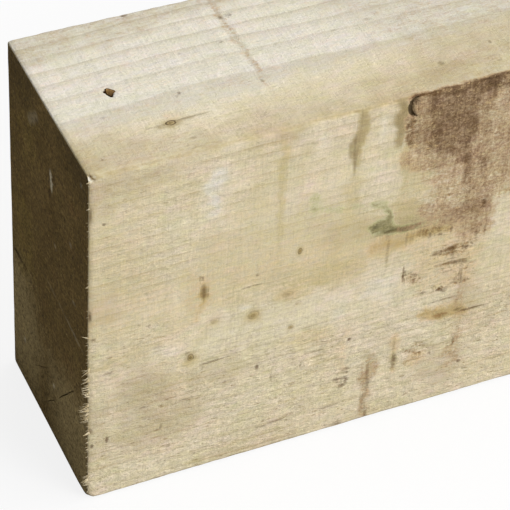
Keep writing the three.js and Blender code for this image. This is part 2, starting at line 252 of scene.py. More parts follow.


# Patches of surface by kind and face: strength, how softly it ends, and its outline as (x, across)
# corners. Purple is the brown stain, green is algae, grey is water marks, white is dried and blanched
# wood, and orange is rust. One grey spot inside the crescent crack is painted shade, and the large
# white patch over the back of the top is partly blanched wood and partly a painted sheen.
PATCHES = {
    "purple": {
        "front": (
            (1.1, 6, ((196, -6), (232, -6), (234, 34), (231, 50), (214, 50), (202, 45), (197, 36),
                (194, 14))),
            (0.96, 8, ((226, -6), (244, -6), (243, 36), (240, 50), (230, 50))),
            (1.36, 4, ((203, -5), (250, -5), (250, 9), (236, 11), (226, 8.5), (212, 8), (204, 6))),
            (0.78, 3, ((185, 12), (198, 8), (200, 30), (202, 42), (196, 42), (187, 34), (184.6, 22))),
            (1.16, 3, ((195, -4), (206, -4), (204, 11), (198, 14))),
            (0.8, 3, ((186, -4), (198, -4), (198, 14), (189, 12))),
            (0.52, 5, ((186, 38), (198, 42), (204, 52), (198, 58), (188, 54))),
            (1.3, 5, streak(208.5, 14, 48, 5)), (1.26, 4, streak(227.6, 16, 40, 3.2)),
            (1.16, 4, ((222, 48), (233, 50), (233, 60), (228, 64), (221, 58))),
            (0.96, 4, ((231, 58), (236, 58), (245, 63), (243, 66), (234, 63))),
            (0.96, 4, streak(229, 60, 80, 4)), (0.98, 3, streak(241, -2, 30, 1.8)),
            (0.7, 8, ((198, 44), (262, 34), (262, 60), (258, 90), (228, 92), (222, 64), (204, 60),
                (197, 56))),
            (0.46, 6, ((200, 56), (228, 56), (230, 96), (208, 90), (203, 70))),
            (0.94, 4, ((229, 43), (238, 48), (247, 60), (243, 66), (232, 60))),
            (0.9, 5, ((226, 84), (246, 86), (244, 97), (238, 104), (222, 104), (218, 98))),
            (0.66, 8, ((202, 84), (232, 80), (230, 103), (204, 101))),
            (0.66, 6, ((222, 98), (250, 96), (250, 114), (238, 120), (222, 112))),
            (0.5, 2.5, ((186, 94.5), (206, 95.4), (206, 99.4), (186, 99))),
            (0.34, 5, spot(188, 47, 4, 9)), (0.28, 3, streak(188.5, 52, 96, 2.2)),
            (1.15, 1.4, ((187, -3), (250, -3), (250, 1.4), (194, 1.8), (188, 0.9))),
            (0.66, 8, ((238, -3), (296, -3), (292, 50), (280, 76), (258, 92), (240, 88))),
            (0.42, 4, streak(178.6, 192, 254, 3.4)), (0.44, 4, streak(178.4, 196, 220, 4.4)),
            (0.38, 4, streak(178.8, 222, 254, 4.2)), (0.42, 4, streak(235.5, 150, 196, 3.2)),
            (0.46, 6, spot(237, 208, 6, 15)), (0.14, 7, spot(188, 180, 10, 12)),
        ),
        "top": (
            (1.35, 1.2, ((188, 123.8), (206, 122.8), (250, 122.4), (250, 128), (188, 128))),
            (0.32, 2.4, streak(118.8, -3, 98, 2.8)),
        ),
        "near": (
            (0.95, 16, ((-20, -20), (46, -20), (36, 26), (-20, 44))),
            (0.95, 16, ((58, -20), (150, -20), (150, 30), (92, 16))),
        ),
    },
    "green": {
        "front": (
            (1.12, 2, ((168.5, 88.7), (172, 86), (178.7, 83.3), (180, 80), (177.6, 77.6), (181.6, 77.6),
                (182.6, 82.7), (184, 88), (184.4, 93), (191, 94.6), (205, 96.4), (205, 99.3), (191, 99.6),
                (178.7, 99), (173, 95.6), (171, 92))),
            (1.4, 1, ((176, 95.4), (184, 95), (192, 95.4), (206, 97), (205, 98.8), (190, 99),
                (178, 98.2))),
            (1.25, 1, ((169, 88.6), (176, 86), (177, 90), (173, 93))),
            (1.2, 1.2, spot(179.8, 78.6, 2.2, 1.8)),
            (0.24, 6, ((184, 78), (191, 82), (203, 90), (208, 99), (184, 99))),
            (0.52, 3, ((129, 54), (134, 52), (139, 60), (143, 66), (136, 69), (131, 62))),
            (0.46, 2, ((138, 64), (152, 67), (152, 70.5), (139, 70))),
            (0.46, 2, ((155, 66.4), (166, 68.4), (166, 72), (156, 71))),
            (0.66, 2, ((167, 69.4), (176, 70.8), (181, 74), (180, 77), (170, 73.4))),
            (0.2, 9, spot(130, 190, 12, 34)), (0.34, 3, spot(195.6, 204, 3.4, 7)),
            (0.2, 12, spot(104, 150, 44, 34)), (0.18, 7, spot(150, 222, 22, 12)),
            (0.2, 8, spot(120, 66, 34, 16)),
        ),
    },
    "grey": {
        "front": (
            (0.68, 1.6, ((154.2, -3), (161.8, -3), (161.9, 16), (160.8, 27), (158.8, 33), (156, 30),
                (154.6, 20))),
            (1.1, 2.4, ((152.4, 22), (154.8, 17), (158, 19), (158, 30), (155.6, 34), (153.2, 30))),
            # the spot at 191.4, 6.6 is painted shade in the pocket inside the crescent crack
            (0.85, 1.8, streak(156, 28, 48, 1.7)), (1, 1.5, spot(191.4, 6.6, 3.2, 5)),
            (0.66, 4, ((184, 88), (206, 90), (228, 92), (226, 101), (184, 100))),
            (1.1, 2.2, streak(182.8, -3, 36, 4)),
            (0.44, 10, ((-8, -4), (58, -4), (50, 14), (20, 22), (-8, 44))),
            (0.38, 7, ((104, -6), (130, -6), (124, 13), (106, 13))),
            (0.36, 7, ((-8, 78), (20, 82), (20, 110), (-8, 116))),
            (0.44, 7, ((-8, 160), (14, 166), (14, 214), (-8, 214))), (0.36, 6, spot(60, 105, 6, 17)),
            (0.34, 8, ((138, 78), (208, 80), (208, 98), (138, 98))),
            (0.3, 5, ((175, -3), (190, -3), (190, 38), (176, 38))),
            (0.66, 4, streak(178.6, 190, 254, 3.6)), (0.44, 8, spot(228, 222, 20, 20)),
            (0.4, 6, spot(46, 5, 26, 5)), (0.36, 5, spot(120, 8, 9, 4)),
            (0.34, 3, spot(58.4, 158, 3.4, 2.4)),
            (0.66, 6, ((176, 97), (250, 95), (250, 110), (176, 110))), (0.52, 14, spot(32, 172, 20, 26)),
            (0.44, 10, spot(42, 200, 34, 20)), (0.32, 9, spot(80, 172, 24, 14)),
            (0.42, 8, spot(240, 172, 14, 20)), (0.22, 5, ((0, 245), (300, 244), (300, 254), (0, 254))),
        ),
        "top": (
            (0.32, 7, ((-5, 77), (100, 74), (270, 69), (270, 78), (120, 88), (-5, 96))),
            (0.48, 10, ((-20, -12), (300, -12), (300, 11), (90, 14), (60, 24), (-20, 30))),
            (0.42, 26, ((160, -8), (320, -8), (320, 140), (200, 140), (190, 60), (170, 30))),
            (0.24, 16, ((96, 90), (300, 88), (300, 136), (90, 136))),
            (0.46, 9, ((-12, 84), (14, 92), (50, 103), (76, 108), (72, 134), (-12, 134))),
            (1, 0.8, ((153, 123.2), (163, 123.2), (163, 128), (153, 128))),
            (1, 0.8, ((178, 123.2), (192, 122.8), (192, 128), (178, 128))),
            (0.22, 2.4, streak(118.8, -3, 92, 3)),
            (0.9, 1.6, ((46, 99), (52, 97.2), (60, 96.6), (77, 96.4), (62, 100.2), (57, 101.4),
                (51, 100.4))),
        ),
    },
    "yellow": {
        "front": (
            (0.9, 1.6, ((154.2, -3), (161.8, -3), (161.9, 20), (159, 40), (155, 40))),
            (0.95, 5, ((182, 72), (196, 74), (206, 84), (210, 98), (186, 98))),
            (0.46, 6, ((184, 34), (198, 38), (206, 72), (200, 98), (184, 98))),
            (0.46, 4, spot(179, 44, 6, 6)), (0.5, 4, ((200, 88), (232, 86), (226, 100), (204, 100))),
            (0.46, 4, ((108, -2), (124, -2), (122, 12), (110, 12))),
            (0.36, 7, ((78, 42), (112, 42), (112, 62), (80, 64))),
            (0.4, 5, ((176, -3), (194, -3), (192, 14), (178, 16))),
            (0.4, 10, ((40, 86), (64, 84), (66, 112), (40, 112))), (0.84, 2, streak(112.6, 0, 108, 3)),
            (0.42, 2.5, streak(125, 16, 98, 2)), (0.55, 5, streak(156, 44, 130, 7.5)),
            (1.4, 3, ((174, 100), (224, 98), (224, 108), (204, 112), (176, 112))),
            (0.66, 8, ((138, 80), (190, 84), (178, 118), (138, 118))), (0.65, 4, spot(70, 142, 5, 3.5)),
            (1.15, 2.5, spot(116.5, 127, 5, 2.4)), (0.8, 3, spot(194.6, 202, 4, 14)),
            (0.8, 2, streak(183, -3, 34, 3.6)), (0.7, 1, streak(180.8, -3, 34, 0.9)),
            (0.85, 2, streak(187.5, 34, 66, 3)), (0.7, 2.4, streak(183.4, 99, 126, 2.4)),
            (0.5, 12, ((60, 60), (190, 76), (190, 122), (130, 128), (60, 112))),
            (0.9, 8, spot(140, 118, 34, 10)), (0.55, 4, spot(73, 135, 6, 5)),
            (0.8, 4, spot(92, 117, 11, 4)), (0.7, 3, spot(98, 138, 8, 4)), (0.7, 3, spot(61, 156, 5, 5)),
            (0.44, 4, spot(56, 158, 6, 2.4)), (0.5, 5, spot(10, 143, 7, 6)),
            (0.3, 6, ((40, 168), (96, 170), (96, 180), (40, 178))), (0.34, 12, spot(8, 70, 26, 60)),
            (0.3, 12, spot(25, 14, 40, 12)), (0.5, 8, ((40, 108), (62, 112), (62, 132), (44, 134))),
            (0.44, 7, spot(55, 166, 10, 6)), (0.5, 8, spot(22, 138, 34, 7)),
        ),
        "top": (
            (0.5, 7, spot(0, 104, 12, 26)), (0.4, 3, ((-3, 0), (3, 0), (2.5, 80), (-3, 80))),
            (0.2, 14, ((120, 92), (290, 78), (290, 128), (90, 128))), (0.24, 12, spot(24, 12, 40, 10)),
        ),
        "near": (
            (0.55, 14, spot(22, 128, 18, 40)), (0.4, 12, spot(30, 40, 22, 34)),
        ),
    },
    "white": {
        "front": (
            (1, 6, ((68, 11), (83, 9), (83, 23), (76, 34), (76, 50), (66, 54), (63, 32), (65, 20))),
            (0.56, 4, spot(82, 4.5, 9, 3)), (0.5, 4, streak(43.5, 0, 12, 3)),
            (0.62, 7, spot(51, 51, 10, 8)), (0.44, 9, ((60, 14), (92, 8), (88, 40), (80, 58), (62, 58))),
            (0.34, 8, streak(47, 26, 128, 7)),
            (0.8, 5, ((131, 6), (141, 4), (141.5, 14), (137, 25), (131, 24))),
            (0.46, 9, spot(134, 14, 14, 16)),
            (0.78, 5, ((166.5, 6), (177, 5), (178, 22), (173, 28), (167, 24))),
            (0.56, 6, ((46, 92), (54, 90), (54, 104), (52, 120), (46, 120))),
            (0.46, 8, ((84, 110), (128, 112), (120, 130), (86, 128))), (0.96, 3, spot(94, 127, 7, 3)),
            (0.84, 3, spot(87, 143, 4, 3.4)), (0.7, 4, spot(76.5, 151, 7, 6)),
            (0.5, 3, spot(127.5, 129, 4.5, 2.4)), (0.8, 6, spot(156, 151, 9, 12)),
            (0.84, 8, spot(180, 140, 17, 16)), (0.34, 9, spot(88, 196, 14, 20)),
            (0.34, 12, ((68, 140), (124, 140), (122, 210), (68, 210))),
            (0.5, 8, ((78, 126), (122, 124), (120, 138), (80, 140))),
            (0.6, 14, ((154, 136), (232, 130), (232, 204), (156, 214))), (0.46, 9, spot(172, 58, 12, 24)),
            (0.72, 5, spot(48, 143, 9, 5)),
            (0.56, 12, ((70, 130), (100, 125), (150, 129), (194, 131), (196, 150), (150, 158), (90, 156),
                (70, 146))),
            (0.56, 8, ((190, 115), (212, 113), (210, 124), (202, 130), (204, 156), (188, 156))),
            (0.4, 6, spot(222, 158, 18, 4)), (0.34, 10, spot(258, 124, 22, 24)),
            (0.34, 12, spot(205, 226, 30, 20)), (0.4, 12, spot(30, 236, 40, 9)),
            (0.34, 8, spot(84, 226, 34, 12)),
        ),
        "top": (
            # over the back of the top: partly blanched wood and partly a painted sheen
            (1.1, 22, ((-40, -40), (340, -40), (340, 80), (165, 90), (110, 98), (46, 98), (-40, 92))),
            (0.44, 6, ((78, 100), (165, 94), (166, 118), (80, 122))),
        ),
        "near": (
            (1.3, 34, ((-40, 170), (24, 160), (44, 200), (34, 240), (-40, 246))),
            (0.95, 30, ((60, 190), (150, 170), (150, 262), (70, 262))),
        ),
    },
    "orange": {
        "front": (
            (0.8, 5, ((171, 102), (190, 100), (226, 98), (226, 110), (204, 113), (174, 112))),
            (1.05, 3, spot(204, 106.5, 15, 4)),
            (0.98, 2.5, ((207, 173), (214, 169), (236, 169.5), (244, 176), (240, 182), (226, 182),
                (212, 177))),
            (1.4, 3, ((216, 173.4), (224, 171.4), (230, 174), (228, 180), (220, 180), (216, 177))),
            (0.66, 3.5, streak(195.5, 182, 214, 2.6)), (0.5, 4, spot(209.5, 209, 6, 8)),
            (0.36, 6, spot(160, 188, 5, 26)),
            (0.98, 3, ((64.8, 99), (67, 96), (71, 97), (72.2, 103), (71.4, 110), (69, 115), (66.4, 113),
                (65.4, 106))),
            (1.3, 1.6, streak(69, 98, 113, 2.6)),
            (0.95, 3, ((65.5, 110), (69.5, 112), (67, 121), (65, 128), (62, 127), (63.6, 119))),
            (0.42, 7, spot(63, 104, 6, 13)), (0.7, 5, spot(190, 46, 5, 10)),
            (0.34, 3, spot(100, 136, 6, 4)),
            (0.42, 8, ((194, 112), (246, 110), (248, 142), (240, 156), (206, 156), (196, 140))),
            (0.1, 20, ((160, 124), (320, 96), (320, 262), (128, 262), (140, 190))),
            (0.16, 14, ((-20, 80), (160, 86), (160, 128), (-20, 128))),
            (0.45, 4, spot(120.5, 124.5, 8, 4)), (0.36, 6, spot(134, 164, 18, 5)),
        ),
        "top": (
            (0.28, 3, ((50, 97), (55, 88), (62, 92), (70, 96), (60, 98))),
        ),
    },
    "torn": {
        "front": (
            (1.12, 4, ((213, 121), (222, 118), (240, 117), (241, 127), (228, 130), (214, 127))),
            (1.4, 3, ((221, 121), (231, 120), (232, 128), (223, 128))),
            (1.08, 4, ((214, 133), (240, 131), (241, 138), (222, 139.6))),
            (0.74, 4, ((228, 139), (240, 139), (240, 156), (230, 156))),
            (0.92, 3, ((195.5, 134), (200, 136), (208, 137), (211, 142), (208, 147.5), (196, 147.5))),
            (0.92, 3, ((202, 152), (241, 150), (241, 156), (204, 157))),
            (0.56, 9, ((194, 112), (246, 108), (248, 166), (204, 164))),
            (0.66, 3, ((185.6, 14), (195, 13), (198, 30), (195, 38), (187, 38), (185, 26))),
            (0.54, 5, ((198, 38), (236, 40), (234, 84), (206, 84), (198, 60))),
            (0.8, 3, ((198, 102), (222, 101), (222, 110), (200, 112))),
            (0.9, 4, ((198, 194), (216, 193), (221, 213), (203, 216))), (0.66, 4, spot(178, 214, 4, 20)),
            (0.66, 5, spot(236, 206, 7, 22)), (0.52, 12, ((112, 180), (172, 176), (176, 248), (90, 248))),
            (0.44, 12, ((20, 160), (110, 156), (110, 212), (20, 214))),
            (0.42, 12, ((180, 170), (256, 168), (256, 240), (180, 240))),
            (0.34, 12, ((10, 206), (110, 208), (110, 246), (10, 246))),
        ),
    },
    "woolly": {
        "front": (
            (1, 22, ((-20, 150), (300, 166), (300, 260), (-20, 260))),
            (0.7, 10, ((-10, 112), (60, 128), (60, 160), (-10, 160))),
            (0.6, 10, ((186, 0), (256, 0), (256, 100), (190, 100))), (0.34, 12, spot(20, 30, 60, 60)),
        ),
        "top": (
            (0.22, 14, ((-10, 92), (120, 96), (300, 76), (300, 128), (-10, 128))),
        ),
    },
}
# The kinds in threes, as the mesh's attributes hold them. Wear, partly real wear and partly painted shade
# on the arrises and along the edges of the end cuts, follows from the shape.
PATCH_SETS = (("purple", "green", "grey"), ("yellow", "white", "orange"), ("torn", "woolly", "wear"))

# The torn knot pit in the top face: its corners, its depth along the near side, how steeply and from
# where it rises towards the far one, its least depth, and where the painted shade of its deep part
# gives way to its lit brown torn wood. A place along its slope is x where it is PIT_MIDDLE in from the
# back, and PIT_SLANT more for each millimetre nearer to the back, since the slope lies aslant.
PIT = ((32.5, 59.6), (36.2, 59.0), (39.2, 62.2), (37.6, 64.0), (35.6, 67.4), (34.2, 64.8))
PIT_DEPTH = 4.2
PIT_SLOPE = 1.26
PIT_RISE_FROM = 34.6
PIT_LEAST = 1.0
PIT_SHADE_ENDS = (35.8, 37.2)
PIT_MIDDLE = 62
PIT_SLANT = 0.45
# The crescent crack round a fallen flake of bark, open to the right: its middle, its half width and
# half height, where it runs deepest in degrees above its leftmost place, how far it reaches to each
# side of that in degrees, its half gape and its depth.
CRESCENT = (193.6, 7.6, 6.0, 7.4)
CRESCENT_RUN = (0.0, 96.0)
CRESCENT_GAPE = 1.6
CRESCENT_DEPTH = 2.5
# The knock off the near end's top front corner, which reaches so far along X, Y and Z, and the worn
# corner below it.
KNOCK = (8.0, 5.0, 5.5)
WEAR_REACH = 9.0
WEAR_ROUNDNESS = 1.35
# Edges between faces that turn by more degrees than this look sharp.
SHARP_FROM = 48


# ---------------------------------------------------------------- helpers
def smoothstep(low, high, value):
    """0 up to `low`, 1 from `high` on and smooth between; it falls where `low` is the higher."""
    t = np.clip((value - low) / (high - low), 0.0, 1.0)
    return t * t * (3.0 - 2.0 * t)


# Keeps the noises of different seeds apart, and widens the noise to about -1 to 1.
SEED_STRIDE = 17.31
NOISE_GAIN = 1.6


def noise_field(points, sizes, seed):
    """Smooth noise of about -1 to 1 at points in millimetres, with features of the sizes given."""
    shifted = points / np.array(sizes, dtype=float) + SEED_STRIDE * seed
    return np.array([noise.noise(Vector(row)) for row in shifted]) * NOISE_GAIN


def graded(stops):
    """Grid lines through every stop, spaced by about each stop's step as far as the next stop."""
    lines = []
    for (start, step), (end, _) in zip(stops, stops[1:]):
        count = max(1, round((end - start) / step))
        lines.extend(start + (end - start) * k / count for k in range(count))
    lines.append(stops[-1][0])
    return np.array(lines)


def new_mesh(name, vertices, faces):
    """A smoothly shaded mesh."""
    mesh = bpy.data.meshes.new(name)
    mesh.from_pydata(vertices, [], faces)
    mesh.polygons.foreach_set("use_smooth", [True] * len(mesh.polygons))
    return mesh


def shown(name, data):
    """A new object in the scene."""
    made = bpy.data.objects.new(name, data)
    bpy.context.collection.objects.link(made)
    return made


def srgb(red, green, blue):
    """A colour as seen, 0 to 255, as Blender's linear red, green, blue and alpha."""
    def linear(value):
        value /= 255.0
        return value / 12.92 if value <= 0.04045 else ((value + 0.055) / 1.055) ** 2.4
    return (linear(red), linear(green), linear(blue), 1.0)


# ---------------------------------------------------------------- the grid of the long faces
def station_lines():
    """Distances from the near end of the rings of vertices: fine where there is most to see."""
    stops = [(0, 0.2), (0.6, 0.5), (1.6, 1.2), (4, 2.0), (31, 0.8), (41, 2.0), (184, 0.8), (196, 2.0),
             (276, 7.0)]
    for x, *_ in WHORLS[1:]:
        stops += [(x - WHORL_REACH, 4.0), (x + WHORL_REACH, 20.0)]
    stops += [(LENGTH - 30, 5.0), (LENGTH - 4, 1.2), (LENGTH - 1.6, 0.5), (LENGTH - 0.6, 0.2)]
    return graded(stops + [(LENGTH, 1.0)])


# The straight sides of the section keep this far from its corners.
CLEAR = 4.2
FRONT_LINES = graded([(CLEAR, 1.0), (16, 2.3), (HEIGHT - CLEAR, 1)])
TOP_LINES = graded([(CLEAR, 2.6), (57, 0.8), (69, 2.6), (WIDTH - CLEAR, 1)])
BACK_LINES = graded([(CLEAR, 8.0), (HEIGHT - CLEAR, 1)])
BOTTOM_LINES = graded([(CLEAR, 12.0), (WIDTH - CLEAR, 1)])


def section_ring():
    """The ring of one section: fixed part, part that scales with an arris radius, normal, arris."""
    sides = (
        [((BACK, z), (1, 0)) for z in LOW[2] + BACK_LINES],
        [((y, TOP), (0, 1)) for y in BACK - TOP_LINES],
        [((FRONT, z), (-1, 0)) for z in TOP - FRONT_LINES],
        [((y, LOW[2]), (0, -1)) for y in FRONT + BOTTOM_LINES],
    )
    ring = []
    for index, ((side_y, side_z), *_) in enumerate(ARRISES):
        corner = (BACK if side_y > 0 else FRONT, TOP if side_z > 0 else LOW[2])
        for step in range(ARRIS_STEPS + 1):
            angle = math.radians(-90 + 90 * index + 90 * step / ARRIS_STEPS)
            normal = (math.cos(angle), math.sin(angle))
            ring.append((corner, (normal[0] - side_y, normal[1] - side_z), normal, index))
        ring.extend((place, (0.0, 0.0), normal, index) for place, normal in sides[index])
    return (np.array(column) for column in zip(*ring))


def long_faces():
    """Points and outward normals of every ring from the near end, and how deep relief may cut."""
    stations = station_lines()
    fixed, scaled, normals, arris_of = section_ring()
    radii = np.array([
        [mean + ARRIS_ALLOWANCE + wander * math.sin(2 * math.pi * (NEAR + s) / period + phase)
         for s in stations]
        for _, mean, wander, period, phase in ARRISES
    ])
    from_end = np.minimum(stations, LENGTH - stations)
    short = np.clip(END_ARRIS - from_end, 0, END_ARRIS)
    inset = END_ARRIS - np.sqrt(END_ARRIS ** 2 - short ** 2)
    points = np.zeros((len(stations), len(fixed), 3))
    points[:, :, 0] = (NEAR + stations)[:, None]
    points[:, :, 1:] = fixed[None] + scaled[None] * radii[arris_of].T[:, :, None]
    points[:, :, 1:] -= normals[None] * inset[:, None, None]
    outward = np.zeros_like(points)
    outward[:, :, 1:] = normals[None]
    on_arc = np.abs(scaled).sum(axis=1) > 0
    room = np.where(on_arc, radii[arris_of].T - ARRIS_CORE, np.inf)
    return points, outward, room


# ---------------------------------------------------------------- the end cuts
def inside(polygon, spots):
    """Which of the spots lie inside the polygon."""
    hit = np.zeros(len(spots), dtype=bool)
    for (ay, az), (by, bz) in zip(polygon, np.roll(polygon, -1, axis=0)):
        spans = (az > spots[:, 1]) != (bz > spots[:, 1])
        if az != bz:
            hit ^= spans & (spots[:, 0] < (by - ay) * (spots[:, 1] - az) / (bz - az) + ay)
    return hit


def about_pith(angle, distance):
    """The place on the section at an angle about the pith, in degrees, and a distance from it."""
    turn = math.radians(angle)
    return np.array([PITH_Y + distance * math.cos(turn), PITH_Z + distance * math.sin(turn)])


def check_outline(check, rng):
    """A drying check's wavering outline on the end cut, and the line where it closes inside."""
    start, stop = about_pith(*check[:2]), about_pith(*check[2:4])
    gape, depth = check[4:]
    length = np.linalg.norm(stop - start)
    along = (stop - start) / length
    across = np.array([-along[1], along[0]])
    count = max(6, int(length / CHECK_STEP))
    left, right, floor = [], [], []
    sway = 0.0
    for k in range(count + 1):
        t = k / count
        bulge = math.sin(math.pi * t) if 0 < k < count else 0.0
        sway = CHECK_KEEPS * sway + rng.uniform(-CHECK_TURN, CHECK_TURN)
        middle = start + along * (length * t) + across * sway
        half = 0.5 * gape * bulge ** 0.7
        left.append(middle + across * half)
        right.append(middle - across * half)
        floor.append((middle, depth * bulge ** 0.6))
    return left, right, floor


def on_wood(rim, gaps, spots):
    """Which of the spots lie inside the rim and in none of the gaps."""
    sound = inside(rim, spots)
    for gap in gaps:
        sound &= ~inside(gap, spots)
    return sound


def filler_spots(rim, gaps, placed, rng):
    """A staggered, slightly shaken grid of places on the wood, clear of those already placed."""
    low, high = rim.min(axis=0), rim.max(axis=0)
    filler = []
    for row in range(int((high[1] - low[1]) / CAP_ROW_PITCH) + 1):
        for col in range(int((high[0] - low[0]) / CAP_PITCH) + 1):
            y = low[0] + (col + 0.5 * (row % 2)) * CAP_PITCH + rng.uniform(-CAP_SHAKE, CAP_SHAKE)
            z = low[1] + row * CAP_ROW_PITCH + rng.uniform(-CAP_SHAKE, CAP_SHAKE)
            filler.append((y, z))
    filler = np.array(filler)
    apart = np.sqrt(((filler[:, None] - placed[None]) ** 2).sum(axis=2)).min(axis=1)
    return filler[on_wood(rim, gaps, filler) & (apart > CAP_CLEAR)]


def check_walls(left, right, closed):
    """The faces of a check's two walls, each from its edge to the line where the check closes."""
    for edge in (left, right):
        for k in range(len(closed) - 1):
            corners = (edge[k], edge[k + 1], closed[k + 1], closed[k])
            yield tuple(dict.fromkeys(corners))


def end_cut(ring, checks, x, inward, first, seed):
    """Fills an end ring: its new vertices, numbered from `first`, and the faces.

    `ring` holds each vertex of the last ring as (index, y, z). The filling is triangles out to each
    drying check, whose two walls close to a line inside the wood.
    """
    rng = random.Random(seed)
    rim = ring[:, 1:]
    count = len(ring)
    spots = [tuple(p) for p in rim]
    edges = [(k, (k + 1) % count) for k in range(count)]
    outlines, gaps = [], []
    for check in checks:
        left, right, floor = check_outline(check, rng)
        gap = left + right[-2:0:-1]
        base = len(spots)
        spots.extend(tuple(p) for p in gap)
        edges.extend((base + k, base + (k + 1) % len(gap)) for k in range(len(gap)))
        outlines.append((base, base + len(left), base + len(gap), floor))
        gaps.append(np.array(gap))
    spots.extend(tuple(p) for p in filler_spots(rim, gaps, np.array(spots), rng))
    result = geometry.delaunay_2d_cdt([Vector(p) for p in spots], edges, [], 0, CAP_SAME)
    triangles = np.array(result[2])
    centres = np.array([tuple(p) for p in result[0]])[triangles].mean(axis=1)
    triangles = triangles[on_wood(rim, gaps, centres)]

    number = [int(k) for k in ring[:, 0]] + list(range(first, first + len(spots) - count))
    vertices = [(x, y, z) for y, z in spots[count:]]
    source = [number[ids[0]] for ids in result[3]]
    faces = [tuple(source[v] for v in triangle) for triangle in triangles]
    for base, turn, stop, floor in outlines:
        bottom = first + len(vertices)
        vertices.extend((x + inward * deep, *place) for place, deep in floor[1:-1])
        left = number[base:turn]
        right = [left[0]] + number[stop - 1:turn - 1:-1] + [left[-1]]
        closed = [left[0]] + [bottom + k for k in range(len(left) - 2)] + [left[-1]]
        faces.extend(check_walls(left, right, closed))
    return vertices, faces


# ---------------------------------------------------------------- places on the faces
FACES = {
    "front": (1, -1), "top": (2, 1), "back": (1, 1), "bottom": (2, -1), "near": (0, -1), "far": (0, 1),
}


def face_share(normals, face):
    """How far each normal belongs to the face: 1 on it, 0 well round the arris."""
    axis, sign = FACES[face]
    return smoothstep(0.25, 0.75, normals[:, axis] * sign)


def on_face(points, face):
    """Places on a face: along it from the near end, and down from the top or in from the back.

    On the end cuts they are in from the back, and down from the top.
    """
    from_back, down = BACK - points[:, 1], TOP - points[:, 2]
    if face in ("near", "far"):
        return np.stack([from_back, down], axis=1)
    return np.stack([points[:, 0] - NEAR, down if face in ("front", "back") else from_back], axis=1)


def depth_inside(outline, spots):
    """How far each spot lies inside an outline, in millimetres, and negative outside it."""
    corners = np.array(outline, dtype=float)
    nearest = np.full(len(spots), np.inf)
    for start, stop in zip(corners, np.roll(corners, -1, axis=0)):
        edge = stop - start
        t = np.clip((spots - start) @ edge / max(edge @ edge, 1e-9), 0, 1)
        off = spots - start - t[:, None] * edge
        nearest = np.minimum(nearest, np.hypot(off[:, 0], off[:, 1]))
    return np.where(inside(corners, spots), nearest, -nearest)


# At this many half sizes or radii from a knot or mark nothing of it is left.
FAR_OFF = 9.0


def outline_sway(points):
    """How the patches' outlines sway at each point, along the face and across it."""
    axes = [noise_field(points, (13, 9, 9), seed) + 0.6 * noise_field(points, (5, 4, 4), seed + 1)
            for seed in (21, 23)]
    return np.stack(axes, axis=1)


def patch_strength(points, normals, sway, patches):
    """The strongest of the patches at each point: half its strength at its outline."""
    strength = np.zeros(len(points))
    for face, peak, soft, outline in patches:
        spots = on_face(points, face) + sway * (0.5 + 0.55 * min(soft, 7))
        low, high = np.min(outline, axis=0) - soft, np.max(outline, axis=0) + soft
        share = face_share(normals, face)
        near = ((spots > low) & (spots < high)).all(axis=1) & (share > 0)
        deep = depth_inside(outline, spots[near])
        reach = peak * smoothstep(-soft, soft, deep) * share[near]
        strength[near] = np.maximum(strength[near], reach)
    return strength


# Just past what the photograph shows of the front and the top. What lies beyond is invented.
SEEN_LENGTH = 290
INVENTED_PATCHES = 70
INVENTED_MARKS = 150


def face_width(face):
    return HEIGHT if face in ("front", "back") else WIDTH


def invented_patches(rng):
    """Stains of the same kinds along the unseen length and on the unseen faces."""
    extra = {kind: [] for kind in PATCHES}
    for _ in range(INVENTED_PATCHES):
        face = rng.choice(("front", "top", "back", "back", "bottom", "front"))
        wide = face_width(face)
        x = rng.uniform(SEEN_LENGTH + 50 if face in ("front", "top") else 20, LENGTH - 20)
        across = rng.uniform(0, wide)
        kind = rng.choice(("grey", "yellow", "yellow", "white", "white", "torn", "woolly", "purple"))
        peak = rng.uniform(0.3, 0.6 if kind in ("purple", "torn") else 0.9)
        if kind in ("grey", "yellow"):
            start = rng.uniform(-10, 0.4 * wide)
            outline = streak(x, start, start + rng.uniform(0.3, 0.8) * wide, rng.uniform(2, 7))
            soft = 3
        else:
            outline = spot(x, across, rng.uniform(12, 80), rng.uniform(6, 30))
            soft = rng.uniform(4, 12)
        extra[kind].append((face, peak, soft, outline))
    return extra


def invented_marks(rng):
    """Specks and short tears along the unseen length and on the unseen faces."""
    extra = []
    for _ in range(INVENTED_MARKS):
        face = rng.choice(("front", "front", "top", "back", "back", "bottom"))
        x = rng.uniform(SEEN_LENGTH if face in ("front", "top") else 8, LENGTH - 8)
        tear = rng.random() < 0.4
        half_x = rng.uniform(3, 9) if tear else rng.uniform(0.7, 1.5)
        half_across = rng.uniform(0.5, 0.9) if tear else rng.uniform(0.7, 1.8)
        across = rng.uniform(5, face_width(face) - 5)
        extra.append((face, x, across, half_x, half_across, rng.uniform(0.4, 1.0)))
    return extra


def by_face(rows):
    """A table's rows in one list, each with its face in front."""
    return [(face, *row) for face, face_rows in rows.items() for row in face_rows]


def nearest_place(points, normals, places):
    """For each point, its offset from the nearest flat place in units of that place's half sizes."""
    best = np.full(len(points), FAR_OFF)
    local = np.full((len(points), 2), FAR_OFF)
    owner = np.zeros(len(points), dtype=int)
    shares = {face: face_share(normals, face) > 0.3 for face in FACES}
    spots = {face: on_face(points, face) for face in FACES}
    for index, (face, x, across, half_x, half_across, *_) in enumerate(places):
        offset = (spots[face] - (x, across)) / (half_x, half_across)
        apart = np.where(shares[face], np.hypot(*offset.T), FAR_OFF)
        closer = apart < best
        best[closer], local[closer], owner[closer] = apart[closer], offset[closer], index
    return local, best, owner


